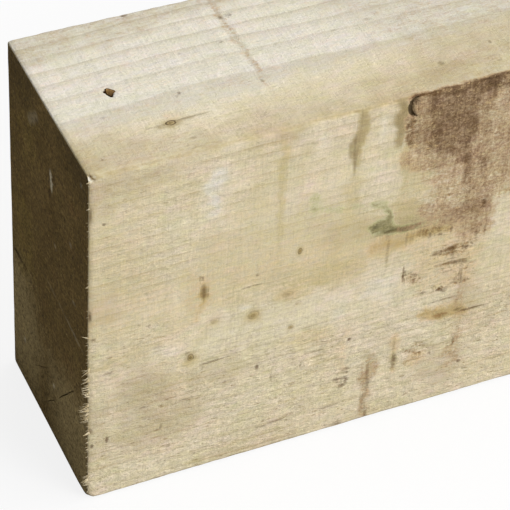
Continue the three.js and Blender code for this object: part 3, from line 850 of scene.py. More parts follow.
def branch_frames():
    """Every branch: where it leaves the pith, its direction, two axes across it, and its looks."""
    slope = math.radians(BRANCH_SLOPE)
    for x, _, branches in WHORLS:
        for angle, *looks in branches:
            turn = math.radians(angle)
            ahead = np.array([
                math.sin(slope), math.cos(slope) * math.cos(turn), math.cos(slope) * math.sin(turn)])
            grain = np.array([1.0, 0, 0]) - ahead[0] * ahead
            grain /= np.linalg.norm(grain)
            yield np.array([NEAR + x, PITH_Y, PITH_Z]), ahead, grain, np.cross(ahead, grain), looks


# Nearer to the pith than this a branch is no knot yet, and no branch is thinner than this.
KNOTS_FROM = 30.0
LEAST_KNOT = 0.3


def knot_fields(points, normals):
    """Offsets from the nearest knot in its radii, how far off it is, its radius and its looks."""
    local, best, owner = nearest_place(points, normals, SMALL_KNOTS)
    radius, dark, bark = np.array([
        (min(half_x, half_across), darkness, rim)
        for *_, half_x, half_across, darkness, rim in SMALL_KNOTS])[owner].T.copy()
    for start, ahead, grain, side, (taper, darkness, rim) in branch_frames():
        offset = points - start
        reach = offset @ ahead
        size = np.maximum(taper * reach, LEAST_KNOT)
        u, v = (offset @ grain) / size, (offset @ side) / size
        apart = np.where(reach > KNOTS_FROM, np.hypot(u, v), FAR_OFF)
        closer = apart < best
        best[closer] = apart[closer]
        local[closer, 0], local[closer, 1] = u[closer], v[closer]
        radius[closer], dark[closer], bark[closer] = size[closer], darkness, rim
    return local, best, radius, dark, bark


# A whorl swells the rings for this far to both sides of a place just beyond it.
WHORL_SPREAD = 46
WHORL_LEAD = 2


def ring_swell(points):
    """How far the growth rings are pushed out from the pith: at each whorl, and by slow wandering."""
    along = points[:, 0] - NEAR
    swell = STEM_TAPER * along + 1.4 * noise_field(points, (520, 4000, 4000), 3)
    for x, push, _ in WHORLS:
        swell += push * np.exp(-((along - x - WHORL_LEAD) / WHORL_SPREAD) ** 2)
    return swell


# ---------------------------------------------------------------- relief
def crescent_depth(points, normals):
    """How deep the crescent crack is at each point: widest at its leftmost place, thin at the tips."""
    x, below, half_x, half_down = CRESCENT
    deepest, run = CRESCENT_RUN
    left = -(points[:, 0] - NEAR - x) / half_x
    up = (below - (TOP - points[:, 2])) / half_down
    turn = np.degrees(np.arctan2(up, left))
    taper = smoothstep(1.0, 0.25, np.abs(turn - deepest) / run)
    off = np.abs(np.hypot(left, up) - 1) * half_x
    cut = smoothstep(1.15, 0.45, off / (CRESCENT_GAPE * taper + 0.05)) * smoothstep(0.0, 0.3, taper)
    return CRESCENT_DEPTH * cut * face_share(normals, "front")


def along_pit(spots):
    """How far along the pit's slope each place on the top face lies."""
    return spots[:, 0] + PIT_SLANT * (PIT_MIDDLE - spots[:, 1])


def pit_depth(points, normals):
    """How deep the torn knot pit is at each point: steep on the near side, sloping up from there."""
    spots = on_face(points, "top")
    within = smoothstep(-0.15, 0.9, depth_inside(PIT, spots))
    rise = PIT_SLOPE * np.maximum(along_pit(spots) - PIT_RISE_FROM, 0)
    return np.maximum(PIT_DEPTH - rise, PIT_LEAST) * within * face_share(normals, "top")


def relief(points, normals, fields):
    """Millimetres that the sawn surface lies behind the flat faces."""
    wide = face_share(normals, "front") + face_share(normals, "back")
    # the slow unevenness of a sawn face, the saw's slanting marks, and the ridges of the grain
    depth = 0.30 + 0.25 * noise_field(points, (160, 90, 90), 1)
    saw = points + np.array([0.04, 0, 0]) * points[:, 2:3]
    depth += (0.10 + 0.05 * wide) * noise_field(saw, (9, 120, 120), 2)
    depth += 0.10 * noise_field(points, (30, 5, 5), 4)
    # woolly fuzz, most on the lower front, and torn grain
    lower = smoothstep(120, 40, points[:, 2]) * face_share(normals, "front")
    depth += (0.09 + 0.22 * np.maximum(lower, fields["woolly"])) * noise_field(points, (7, 3.5, 3.5), 5)
    depth += 0.7 * fields["torn"] * np.maximum(noise_field(points, (14, 3.2, 3.2), 6) - 0.05, 0)
    # a dip round each knot, whose heart stands up, and a dent at each dark mark
    _, off_knot, radius, _, _ = fields["knot"]
    depth += 0.35 * np.minimum(radius / 4, 1) * np.exp(-((off_knot - 1.15) / 0.35) ** 2)
    depth -= 0.25 * np.minimum(radius / 4, 1) * smoothstep(1.0, 0.4, off_knot)
    _, off_mark, strength = fields["mark"]
    depth += 0.35 * np.maximum(strength, 0) * smoothstep(1.3, 0.3, off_mark)
    return np.clip(depth, 0.0, 3.0) + crescent_depth(points, normals) + pit_depth(points, normals)


def arris_wear(points, normals):
    """Extra rounding, dents and torn bits along the four arrises."""
    edge = smoothstep(0.30, 0.68, np.minimum(np.abs(normals[:, 1]), np.abs(normals[:, 2])))
    fine = np.abs(noise_field(points, (5, 60, 60), 7))
    knocks = np.maximum(noise_field(points, (22, 60, 60), 8) - 0.25, 0)
    slow = 0.5 + 0.5 * noise_field(points, (180, 300, 300), 9)
    return edge * (0.35 * fine + 1.5 * knocks ** 1.5 + 0.4 * slow)


def end_wear(points):
    """Splintered unevenness where the long faces meet the end cuts."""
    from_end = np.minimum(points[:, 0] - NEAR, FAR - points[:, 0])
    near_edge = smoothstep(3.0, 0.0, from_end)
    return near_edge * (0.25 + 0.3 * np.abs(noise_field(points, (9, 2.4, 2.4), 10)))


def worn_round(points):
    """The near end's bottom front corner worn round, which changes the points in place."""
    inset = WEAR_REACH * WEAR_ROUNDNESS
    ball = np.array([NEAR + inset, FRONT + inset, LOW[2] + inset])
    ball_radius = math.sqrt((inset - WEAR_REACH) ** 2 + 2 * inset ** 2)
    offset = points - ball
    apart = np.linalg.norm(offset, axis=1)
    worn = (offset < 0).all(axis=1) & (apart > ball_radius)
    points[worn] = ball + offset[worn] * (ball_radius / apart[worn])[:, None]


def knocked_off(points):
    """The near end's top front corner knocked off, which changes the points in place."""
    facing = 1 / (np.array(KNOCK) * np.array([1, 1, -1]))
    short = 1 - (points - np.array([NEAR, FRONT, TOP])) @ facing
    short += 0.25 * noise_field(points, (2, 2, 2), 11)
    knocked = short > 0
    points[knocked] += facing * (short / (facing @ facing))[knocked][:, None]


# ---------------------------------------------------------------- the baulk's mesh
def lining(points, normals):
    """How far each point lies in the pit, low where its deep part gets painted shade and most where its
    torn wood is lit, or below 0 in the crescent crack, whose painted shade it sets.
    """
    spots = on_face(points, "top")
    within = smoothstep(-0.15, 0.5, depth_inside(PIT, spots)) * face_share(normals, "top")
    # where the pit's painted shade ends and its lit torn wood begins
    light = smoothstep(*PIT_SHADE_ENDS, along_pit(spots))
    return within * (0.35 + 1.25 * light) - crescent_depth(points, normals) / CRESCENT_DEPTH


def surface_fields(points, normals, patches, marks):
    """Everything that relief and colour need to know about each point."""
    sway = outline_sway(points)
    fields = {kind: patch_strength(points, normals, sway, rows) for kind, rows in patches.items()}
    fields["knot"] = knot_fields(points, normals)
    local, off, owner = nearest_place(points, normals, marks)
    fields["mark"] = (local, off, np.array([row[5] for row in marks])[owner])
    edge = np.minimum(np.abs(normals[:, 1]), np.abs(normals[:, 2]))
    from_end = np.minimum(points[:, 0] - NEAR, FAR - points[:, 0])
    upper = smoothstep(0.02, 0.12, points[:, 2])
    # partly real wear and partly painted shade: on the arrises it dulls the highlight they catch, and
    # beside the end cuts it carries their shade round the edge
    fields["wear"] = np.maximum(smoothstep(0.05, 0.6, edge) * upper, smoothstep(2.6, 0.2, from_end))
    fields["swell"] = ring_swell(points)
    fields["lining"] = lining(points, normals)
    return fields


def long_surface(patches, marks):
    """The long faces with their relief: points, fields and faces, and how many make a ring."""
    grid, outward, room = long_faces()
    rings, count = grid.shape[:2]
    points, normals = grid.reshape(-1, 3), outward.reshape(-1, 3)
    fields = surface_fields(points, normals, patches, marks)
    depth = relief(points, normals, fields)
    depth += arris_wear(points, normals) + end_wear(points)
    depth *= 1 - 0.7 * face_share(normals, "bottom")
    depth = np.minimum(depth, room.reshape(-1))
    points = points - normals * depth[:, None]
    points[:, 2] = np.maximum(points[:, 2], LOW[2])
    faces = [
        (ring + k, ring + (k + 1) % count, ring + (k + 1) % count + count, ring + k + count)
        for ring in range(0, (rings - 1) * count, count) for k in range(count)
    ]
    return points, fields, faces, count


def end_surfaces(points, count, patches, marks):
    """The two end cuts with their relief: new points, fields and faces."""
    added, faces = [], []
    ends = ((0, NEAR_CHECKS, NEAR, 1), (len(points) - count, FAR_CHECKS, FAR, -1))
    for first, checks, x, inward in ends:
        ring = np.column_stack([np.arange(first, first + count), points[first:first + count, 1:]])
        more, caps = end_cut(ring, checks, x, inward, len(points) + len(added), 5 + first)
        added.extend(more)
        faces.extend(caps)
    added = np.array(added)
    normals = np.zeros_like(added)
    normals[:, 0] = np.sign(added[:, 0])
    fields = surface_fields(added, normals, patches, marks)
    lump = 0.25 + 0.18 * noise_field(added, (9, 5, 5), 13) + 0.12 * noise_field(added, (9, 60, 2.6), 14)
    on_cut = np.abs(np.abs(added[:, 0]) - FAR) < 0.01
    added[:, 0] -= normals[:, 0] * np.clip(lump, 0, 1) * on_cut
    return added, fields, faces


def store_fields(mesh, fields):
    """Puts the fields on the vertices, three to an attribute."""
    local, off_knot, radius, dark, bark = fields["knot"]
    place, off_mark, strength = fields["mark"]
    sets = {
        "knot": (*local.T, radius),
        "knot_look": (dark, bark, off_knot),
        "mark": (*place.T, strength),
        "growth": (fields["swell"], off_mark, fields["lining"]),
    }
    for index, kinds in enumerate(PATCH_SETS):
        sets[f"patch_{index}"] = tuple(fields[kind] for kind in kinds)
    for name, columns in sets.items():
        attribute = mesh.attributes.new(name, "FLOAT_VECTOR", "POINT")
        packed = np.stack(columns, axis=1).astype(np.float32)
        attribute.data.foreach_set("vector", packed.ravel())


def joined(first, second):
    """Two sets of fields, one after the other."""
    if isinstance(first, tuple):
        return tuple(joined(a, b) for a, b in zip(first, second))
    return np.concatenate([first, second])


def face_outwards(mesh):
    """Turns every face of a closed mesh outwards."""
    closed = bmesh.new()
    closed.from_mesh(mesh)
    bmesh.ops.recalc_face_normals(closed, faces=closed.faces)
    closed.to_mesh(mesh)
    closed.free()


def build_baulk():
    """The whole baulk as one closed mesh, with its fields stored on the vertices."""
    rng = random.Random(41)
    invented = invented_patches(rng)
    patches = {kind: by_face(rows) + invented[kind] for kind, rows in PATCHES.items()}
    marks = by_face(MARKS) + invented_marks(rng)
    points, fields, faces, count = long_surface(patches, marks)
    added, end_fields, caps = end_surfaces(points, count, patches, marks)
    vertices = np.vstack([points, added])
    worn_round(vertices)
    knocked_off(vertices)

    mesh = new_mesh("sleeper_wood", (vertices * MM).tolist(), faces + caps)
    store_fields(mesh, {name: joined(fields[name], end_fields[name]) for name in fields})
    mesh.polygons.foreach_set("material_index", [0] * len(faces) + [1] * len(caps))
    face_outwards(mesh)
    mesh.set_sharp_from_angle(angle=math.radians(SHARP_FROM))
    return shown("sleeper_wood", mesh)


# ---------------------------------------------------------------- node wiring
class Wiring:
    """A material's nodes, made by short calls that take sockets or plain values."""

    def __init__(self, name):
        self.material = bpy.data.materials.new(name)
        self.material.use_nodes = True
        self.tree = self.material.node_tree
        self.tree.nodes.clear()

    @classmethod
    def within(cls, tree):
        """Wiring for a tree that belongs to something else than a material."""
        made = cls.__new__(cls)
        made.tree = tree
        tree.nodes.clear()
        return made

    def node(self, kind, inputs=(), **settings):
        made = self.tree.nodes.new(kind)
        for key, value in settings.items():
            setattr(made, key, value)
        for key, value in dict(inputs).items():
            self.feed(made.inputs[key], value)
        return made

    def feed(self, socket, value):
        if isinstance(value, bpy.types.NodeSocket):
            self.tree.links.new(value, socket)
        elif value is not None:
            socket.default_value = value

    def math(self, operation, a, b=None, c=None, clamp=False):
        made = self.node("ShaderNodeMath", operation=operation, use_clamp=clamp)
        for socket, value in zip(made.inputs, (a, b, c)):
            self.feed(socket, value)
        return made.outputs[0]

    def vector(self, operation, *values):
        made = self.node("ShaderNodeVectorMath", operation=operation)
        for socket, value in zip(made.inputs, values):
            self.feed(socket, value)
        return made.outputs[0]

    def add(self, *terms):
        """The sum of its terms: each a value, or a value with its weight and what is added to it."""
        total, *others = (
            self.scaled(*term) if isinstance(term, tuple) else term for term in terms)
        for term in others:
            total = self.math("ADD", total, term)
        return total

    def times(self, a, b):
        return self.math("MULTIPLY", a, b)

    def highest(self, a, b):
        return self.math("MAXIMUM", a, b)

    def hypot(self, a, b):
        return self.math("SQRT", self.add(self.times(a, a), self.times(b, b)))

    def scaled(self, value, scale, shift=0.0):
        return self.math("MULTIPLY_ADD", value, scale, shift)

    def step(self, value, low, high):
        """0 below `low`, 1 above `high`, smooth between; falls instead where low is above high."""
        ends = (0.0, 1.0) if low < high else (1.0, 0.0)
        made = self.node("ShaderNodeMapRange", {
            "Value": value, "From Min": min(low, high), "From Max": max(low, high),
            "To Min": ends[0], "To Max": ends[1]}, interpolation_type="SMOOTHSTEP")
        return made.outputs[0]

    def noise(self, place, sizes, detail=2.0, roughness=0.5, shift=0.0, twist=0.0):
        """Noise of 0 to 1 with features of the given sizes in millimetres along X, Y and Z."""
        scale = tuple(1.0 / (size * MM) for size in sizes)
        made = self.node("ShaderNodeTexNoise", {
            "Vector": self.vector("MULTIPLY_ADD", place, scale, (shift, shift, shift)),
            "Scale": 1.0, "Detail": detail, "Roughness": roughness, "Distortion": twist})
        return made.outputs["Fac"]

    def sway(self, place, *numbers):
        """Noise about 0 that mostly stays between -1 and 1."""
        return self.scaled(self.noise(place, *numbers), 4.0, -2.0)

    def split(self, vector):
        return self.node("ShaderNodeSeparateXYZ", {"Vector": vector}).outputs

    def place(self):
        """The object's own coordinates, in metres."""
        return self.node("ShaderNodeTexCoord").outputs["Object"]

    def field(self, name):
        made = self.node("ShaderNodeAttribute", attribute_type="GEOMETRY", attribute_name=name)
        return self.split(made.outputs["Vector"])

    def mix(self, share, a, b):
        made = self.node("ShaderNodeMix", data_type="RGBA")
        for socket, value in ((made.inputs["Factor"], share), (made.inputs[6], a), (made.inputs[7], b)):
            self.feed(socket, value)
        return made.outputs[2]

    def wash(self, colour, share, strength, tone):
        """The colour with a tone laid over it, as strong as the strength where the share is 1."""
        return self.mix(self.times(share, strength), colour, srgb(*tone))

    def washes(self, colour, layers):
        """The colour under layers in turn: each what it follows, from where to where, and a wash."""
        for signal, low, high, strength, tone in layers:
            colour = self.wash(colour, self.step(signal, low, high), strength, tone)
        return colour

    def tinge(self, colour, red, blue):
        """The colour with its red and its blue made stronger by the shares given."""
        made = self.node("ShaderNodeCombineXYZ", {
            0: self.scaled(red, 1.0, 1.0), 1: 1.0, 2: self.scaled(blue, 1.0, 1.0)})
        return self.vector("MULTIPLY", colour, made.outputs[0])

    def shade(self, colour, brightness):
        """The colour made lighter or darker by a factor."""
        made = self.node("ShaderNodeVectorMath", {"Scale": brightness}, operation="SCALE")
        self.feed(made.inputs[0], colour)
        return made.outputs[0]

    def finish(self, colour, height, roughness, specular=0.12):
        """Ends the material: colour, relief in millimetres and roughness into one wood surface."""
        bump = self.node("ShaderNodeBump", {"Height": height, "Strength": 1.0, "Distance": MM})
        surface = self.node("ShaderNodeBsdfPrincipled", {
            "Base Color": colour, "Roughness": roughness, "Normal": bump.outputs[0],
            "Specular IOR Level": specular})
        self.node("ShaderNodeOutputMaterial", {"Surface": surface.outputs[0]})
        return self.material


# ---------------------------------------------------------------- wood
# Ring widths in millimetres at distances from the pith.
RING_WIDTHS = ((0, 3.0), (30, 4.1), (60, 5.4), (90, 7.6), (115, 8.4), (150, 5.6), (210, 5.7))
RING_SPAN = 210.0
RING_PHASE = 0.43
RING_STOPS = (15, 30, 60, 90, 115, 150, 180)
# How much further out the rings lie, per millimetre along the log.
STEM_TAPER = 0.010


def ring_count(distance):
    """How many rings lie within a distance of the pith."""
    spots = (np.arange(200) + 0.5) * distance / 200
    widths = np.interp(spots, *zip(*RING_WIDTHS))
    return float(distance * np.mean(1 / widths))


def from_pith(w, place):
    """Millimetres to the side of the pith, above it and away from it."""
    _, y, z = w.split(place)
    side, up = w.scaled(y, 1 / MM, -PITH_Y), w.scaled(z, 1 / MM, -PITH_Z)
    return side, up, w.hypot(side, up)


def growth_rings(w, place, swell, knot_push):
    """The share of the year at each point, 0 at its start and 1 at its end, and the year."""
    drift = w.scaled(w.noise(place, (400, 45, 45), 2.0, 0.5, 3.1), 5.0, -2.5)
    ripple = w.scaled(w.noise(place, (26, 11, 11), 1.0, 0.5, 8.7), 1.4, -0.7)
    _, up, apart = from_pith(w, place)
    leaning = w.add((apart, 0.89), (up, 0.11), drift, ripple)
    leaning = w.math("SUBTRACT", leaning, w.add(swell, knot_push))
    total = ring_count(RING_SPAN)
    curve = w.node("ShaderNodeFloatCurve", {"Value": w.math("DIVIDE", leaning, RING_SPAN, clamp=True)})
    line = curve.mapping.curves[0]
    for distance in RING_STOPS:
        line.points.new(distance / RING_SPAN, ring_count(distance) / total)
    for point in line.points:
        point.handle_type = "VECTOR"
    curve.mapping.update()
    years = w.scaled(curve.outputs[0], total, RING_PHASE)
    return w.math("FRACT", years), w.math("FLOOR", years)


def late_wood(w, part, year):
    """The dark end of each year: a band that comes on slowly, and the thin line that closes it."""
    white = w.node("ShaderNodeTexWhiteNoise", {"W": year}, noise_dimensions="1D")
    strength = w.scaled(white.outputs["Value"], 0.6, 0.6)
    band = w.times(w.step(part, 0.30, 0.92), w.step(part, 1.0, 0.93))
    line = w.times(w.step(part, 0.76, 0.93), w.step(part, 1.0, 0.95))
    return w.times(band, strength), w.times(line, strength)


def knot_signs(w, t, knot, look):
    """From the knot fields: distance from the knot in radii, its body, its rim, its halo and push."""
    reach = w.highest(w.hypot(knot[0], knot[1]), w.scaled(look[2], 0.5))
    ragged = w.add(reach, (t.wobble, 0.16))
    body = w.step(ragged, 1.60, 0.20)
    rim = w.times(w.step(ragged, 0.70, 0.98), w.step(ragged, 1.35, 1.02))
    halo = w.step(ragged, 3.0, 0.8)
    fall = w.math("EXPONENT", w.scaled(w.times(reach, reach), -0.30))
    push = w.times(w.scaled(knot[2], 1.25), fall)
    return reach, body, rim, halo, push


# The noises that the face wood's colour and relief share, and those of the end cuts: the size of
# their features along X, Y and Z, detail, roughness, shift and twist.
FACE_TEXTURES = {
    "fibres": ((13, 0.9, 0.9), 3.0, 0.6, 1.7),
    "hairs": ((1.5, 13, 13), 3.0, 0.65, 4.4),
    "grit": ((1.6, 1.1, 1.1), 3.0, 0.75, 2.9),
    "flecks": ((4.2, 1.3, 1.3), 2.0, 0.6, 6.1),
    "slivers": ((6.0, 1.3, 1.3), 2.0, 0.6, 41.3),
    "curls": ((3.4, 2.6, 2.6), 3.0, 0.62, 8.3, 1.4),
    "blots": ((10, 4.8, 4.8), 4.0, 0.66, 11.5),
    "tints": ((8, 3.4, 3.4), 3.0, 0.70, 51.0),
    "cloud": ((60, 38, 36), 3.0, 0.6, 9.2),
    "drift": ((30, 21, 21), 3.0, 0.6, 31.0),
    "bands": ((9, 300, 300), 3.0, 0.6, 7.9),
    "runs": ((3.4, 22, 22), 3.0, 0.72, 13.3),
    "specks": ((2.2, 1.9, 1.9), 3.0, 0.78, 15.8, 0.6),
    "tufts": ((2.8, 1.8, 1.8), 2.0, 0.65, 27.7, 1.0),
    "strokes": ((8, 1.9, 1.9), 4.0, 0.68, 17.2),
    "crumbs": ((2.0, 2.6, 2.6), 3.0, 0.7, 19.9),
    "dots": ((1.9, 1.5, 1.5), 1.0, 0.5, 21.0),
    "wobble": ((5, 2.4, 2.4), 3.0, 0.6, 5.3),
    "waver": ((4, 3, 3),),
}
CUT_TEXTURES = {
    "grit": ((2.0, 1.8, 1.8), 3.0, 0.75, 1.2),
    "flecks": ((4, 2.4, 2.4), 3.0, 0.65, 6.8),
    "scratch": ((50, 60, 1.3), 3.0, 0.65, 3.4),
    "tufts": ((9, 5.5, 5.5), 3.0, 0.65, 6.8),
    "cloud": ((60, 36, 36), 3.0, 0.55, 5.6),
    "damp": ((60, 15, 15), 3.0, 0.6, 7.7),
}


def textures(w, place, table):
    """The noises of a table, each under its name."""
    return SimpleNamespace(**{name: w.sway(place, *numbers) for name, numbers in table.items()})


def frayed(w, field, noise, full, share):
    """A field made uneven by noise, which sets in above 0 and has its whole share from `full` on."""
    return w.add(field, w.times(noise, w.scaled(w.step(field, 0.0, full), share)))


def plain_face_colour(w, t, late, rough):
    """Clean sawn wood: mottled tan, pink and olive, with soft brown rings broken up by the saw."""
    colour = w.mix(w.step(t.cloud, -0.9, 0.9), srgb(220, 207, 177), srgb(207, 193, 160))
    colour = w.washes(colour, (
        # pink, olive, mossy and rosy clouds
        (w.add((t.drift, 0.7), (t.blots, 0.7)), 0.0, 1.1, 0.60, (226, 205, 181)),
        (w.add((t.drift, -0.7), (t.curls, 0.6)), 0.0, 1.1, 0.55, (194, 186, 142)),
        (w.add((t.blots, -0.7), (t.curls, 0.6)), 0.15, 1.1, 0.42, (206, 206, 172)),
        (w.add((t.curls, -0.8), (t.grit, 0.4)), 0.20, 1.1, 0.34, (222, 196, 172)),
    ))
    seen = w.step(w.add(t.cloud, (t.blots, 0.5)), -0.9, 1.0)
    ringed = w.add(w.times(late[0], w.scaled(seen, 0.19, 0.03)),
                   w.times(late[1], w.add((t.flecks, 0.22, 0.04), (seen, 0.22))))
    colour = w.mix(w.highest(ringed, 0.0), colour, srgb(162, 136, 92))
    return w.washes(colour, (
        # sunken grain, slivers, raised grain and the saw's bands
        (w.add(t.flecks, (t.curls, 0.5)), -0.45, -1.25, w.scaled(rough, 0.50, 0.05), (164, 140, 100)),
        (t.slivers, 0.40, 1.00, w.scaled(rough, 0.66, 0.12), (138, 108, 66)),
        (w.add(t.flecks, (t.curls, 0.7)), 0.20, 1.30, w.scaled(rough, 0.55, 0.10), (234, 221, 196)),
        (t.bands, 0.1, 1.0, 0.16, (186, 171, 130)),
    ))


def blanched_and_sheen_colour(w, t, colour, late, white):
    """The colour under its pale dried patches, one of them partly a painted sheen on the top, bruised in
    places, with the rings showing through.
    """
    whitened = w.step(w.add(white, (t.broken, 0.40)), -0.05, 1.10)
    # pale dried wood, and on the back of the top partly a painted sheen
    blanched = w.mix(w.step(white, 0.60, 1.10), srgb(223, 213, 187), srgb(224, 219, 205))
    colour = w.mix(w.scaled(whitened, 0.82), colour, blanched)
    bruised = w.times(whitened, w.step(w.add(t.blots, (t.curls, 0.9)), 0.0, 1.2))
    colour = w.wash(colour, bruised, 0.40, (206, 188, 166))
    ringed = w.times(whitened, w.add((late[1], 0.13), (late[0], 0.22)))
    return w.mix(ringed, colour, srgb(174, 160, 130))


def stained_colour(w, t, colour, late, stains):
    """The colour under yellow and dried patches, grey water marks, rust and algae."""
    green, grey, yellow, white, orange = stains
    colour = w.wash(colour, w.step(w.add(yellow, (t.broken, 0.40)), 0.0, 1.05), 0.75, (191, 174, 126))
    colour = blanched_and_sheen_colour(w, t, colour, late, white)
    greyed = frayed(w, grey, w.add(t.broken, (t.flecks, 0.5)), 0.4, 0.45)
    browned = frayed(w, orange, t.broken, 0.5, 0.50)
    algae = frayed(w, green, t.broken, 0.4, 0.72)
    return w.washes(colour, (
        (greyed, 0.05, 1.05, 0.72, (152, 134, 96)),
        (grey, 0.95, 1.30, 0.50, (122, 104, 68)),
        (browned, 0.0, 0.50, 0.62, (209, 186, 146)),
        (browned, 0.45, 1.05, 0.75, (182, 158, 106)),
        (browned, 0.95, 1.65, 0.75, (130, 94, 48)),
        (algae, 0.12, 0.60, 0.60, (188, 188, 140)),
        (algae, 0.45, 1.05, 0.82, (142, 132, 92)),
        (algae, 0.95, 1.55, 0.80, (94, 90, 60)),
    ))


def soaked_colour(w, t, colour, purple):
    """The colour under the purple brown stain: a thin wash, dark runs down it and fine specks."""
    uneven = w.add((t.runs, 0.34), (t.blots, 0.24), (t.curls, 0.40), (t.specks, 0.42))
    deep = frayed(w, purple, uneven, 0.45, 0.85)
    colour = w.washes(colour, (
        (deep, 0.08, 0.58, 0.75, (181, 155, 120)),
        (deep, 0.48, 0.95, 0.82, (143, 117, 88)),
        (deep, 0.90, 1.35, 0.86, (104, 80, 56)),
        (deep, 1.35, 1.80, 0.80, (70, 52, 32)),
    ))
    bare = w.times(w.step(t.tufts, 0.20, 0.90), w.step(purple, 0.15, 0.6))
    return w.wash(colour, bare, 0.58, (202, 174, 128))


def torn_colour(w, t, colour, torn):
    """The colour under old tears, and where their strokes are."""
    tearing = frayed(w, torn, w.add((t.strokes, 0.55), (t.crumbs, 0.42)), 0.4, 1.0)
    stroke = w.step(tearing, 0.66, 1.35)
    colour = w.wash(colour, stroke, 0.75, (152, 120, 74))
    return w.wash(colour, w.step(tearing, 1.15, 1.85), 0.85, (90, 62, 32)), stroke


def knotted_colour(w, t, colour, look, signs):
    """The colour with its knots: a brown heart with faint rings, a soft halo and a bark rim."""
    reach, body, rim, halo, _ = signs
    years = w.math("SINE", w.scaled(w.add(reach, (t.waver, 0.05)), 19.0))
    heart = w.mix(w.step(years, -0.6, 1.0), srgb(178, 158, 108), srgb(152, 131, 82))
    heart = w.wash(heart, w.step(reach, 0.85, 0.15), 0.55, (100, 78, 42))
    colour = w.wash(colour, w.times(halo, look[0]), 0.50, (176, 156, 108))
    colour = w.mix(w.times(body, w.math("MINIMUM", look[0], 1.0)), colour, heart)
    dark_rim = w.highest(look[1], w.scaled(look[0], 0.15))
    return w.mix(w.times(rim, dark_rim), colour, srgb(66, 48, 32))


def mark_signs(w, t, mark, growth):
    """How far each point is in a small mark: one share for dark marks and one for pale ones."""
    off_mark = w.highest(w.hypot(mark[0], mark[1]), w.scaled(growth[1], 0.5))
    speck = w.step(w.add(off_mark, (t.grit, 0.36), (t.flecks, 0.30)), 1.75, 0.20)
    return tuple(w.times(speck, w.highest(w.scaled(mark[2], sign), 0.0)) for sign in (1.0, -1.0))


def hollow_colour(w, t, colour, hollow):
    """The colour with the knot pit, painted shade in its deep part and brown torn wood where it is lit,
    and painted shade in the crescent crack.
    """
    # painted shade in the pit's deep part, and the brown of its lit torn wood beyond it
    pit_shade_and_wood = w.mix(w.step(w.add(hollow, (t.grit, 0.06)), 0.42, 0.62),
                      srgb(50, 32, 12), srgb(148, 116, 72))
    colour = w.mix(w.step(hollow, 0.04, 0.16), colour, pit_shade_and_wood)
    # painted shade inside the crescent crack
    crack_shade = w.step(w.add(hollow, (t.grit, -0.12)), -0.30, -0.72)
    return w.wash(colour, crack_shade, 0.84, (72, 58, 36))


def mottled(w, t, colour, rough):
    """The colour made lighter, darker, redder and bluer by turns, as sawn wood is."""
    redder = w.add((t.curls, 0.022), (t.blots, 0.022), (t.drift, 0.014))
    bluer = w.add((t.tints, -0.095), (t.blots, 0.038), (t.drift, 0.034))
    light = w.add((t.fibres, 0.014, 1.005), (t.hairs, 0.056), (t.bands, 0.018), (t.blots, 0.060),
                  w.times(t.grit, w.scaled(rough, -0.020, 0.098)),
                  w.times(t.curls, w.scaled(rough, 0.010, 0.090)),
                  w.times(t.flecks, w.scaled(rough, 0.078, 0.047)))
    return w.shade(w.tinge(colour, redder, bluer), light)


def face_wood():
    """The sawn long faces: rings, fibres, woolly fuzz, saw marks, knots, tears and stains."""
    w = Wiring("sawn_face_wood")
    place = w.place()
    knot, look, mark, growth = (w.field(name) for name in ("knot", "knot_look", "mark", "growth"))
    purple, green, grey = w.field("patch_0")
    yellow, white, orange = w.field("patch_1")
    torn, woolly, wear = w.field("patch_2")
    t = textures(w, place, FACE_TEXTURES)
    t.broken = w.add((t.blots, 0.50), (t.grit, 0.40), (t.curls, 0.40), (t.hairs, 0.20))
    signs = knot_signs(w, t, knot, look)
    late = late_wood(w, *growth_rings(w, place, growth[0], signs[4]))
    rough = w.highest(woolly, w.scaled(torn, 0.6))
    speck, pale = mark_signs(w, t, mark, growth)

    colour = plain_face_colour(w, t, late, w.scaled(rough, 0.85, 0.15))
    # painted shade and wear: the arrises and the edges along the end cuts are washed a dull olive
    worn = w.times(wear, w.step(w.add(t.blots, (t.grit, 0.5)), -1.3, 0.5))
    colour = w.wash(colour, worn, 0.62, (170, 153, 112))
    colour = stained_colour(w, t, colour, late, (green, grey, yellow, white, orange))
    colour = soaked_colour(w, t, colour, purple)
    colour, stroke = torn_colour(w, t, colour, torn)
    colour = knotted_colour(w, t, colour, look, signs)
    colour = w.wash(colour, speck, 0.88, (88, 60, 28))
    colour = w.wash(colour, pale, 0.80, (236, 230, 212))
    dots = w.step(t.dots, 0.95, 1.35)
    colour = w.wash(colour, dots, w.scaled(rough, 0.35, 0.25), (120, 92, 54))
    colour = hollow_colour(w, t, colour, growth[2])
    colour = mottled(w, t, colour, rough)

    height = w.add(
        (t.fibres, 0.05), (t.hairs, 0.05), (t.blots, 0.08), (late[0], 0.04),
        w.times(t.grit, w.scaled(rough, 0.06, 0.05)), w.times(t.flecks, w.scaled(rough, 0.10, 0.04)),
        w.times(t.curls, w.scaled(rough, 0.06, 0.04)),
        (stroke, -0.25), (speck, -0.12), (signs[2], -0.10))
    return w.finish(colour, height, w.scaled(t.grit, 0.05, 0.84))


def ray_pattern(w, place):
    """Fine streaks that run out from the pith, for the rays of the end cuts."""
    side, up, apart = from_pith(w, place)
    angle = w.math("ARCTAN2", up, side)
    polar = w.node("ShaderNodeCombineXYZ", {"X": w.scaled(angle, 0.07), "Y": w.scaled(apart, 0.001)})
    return w.sway(polar.outputs[0], (1.0, 20, 1))


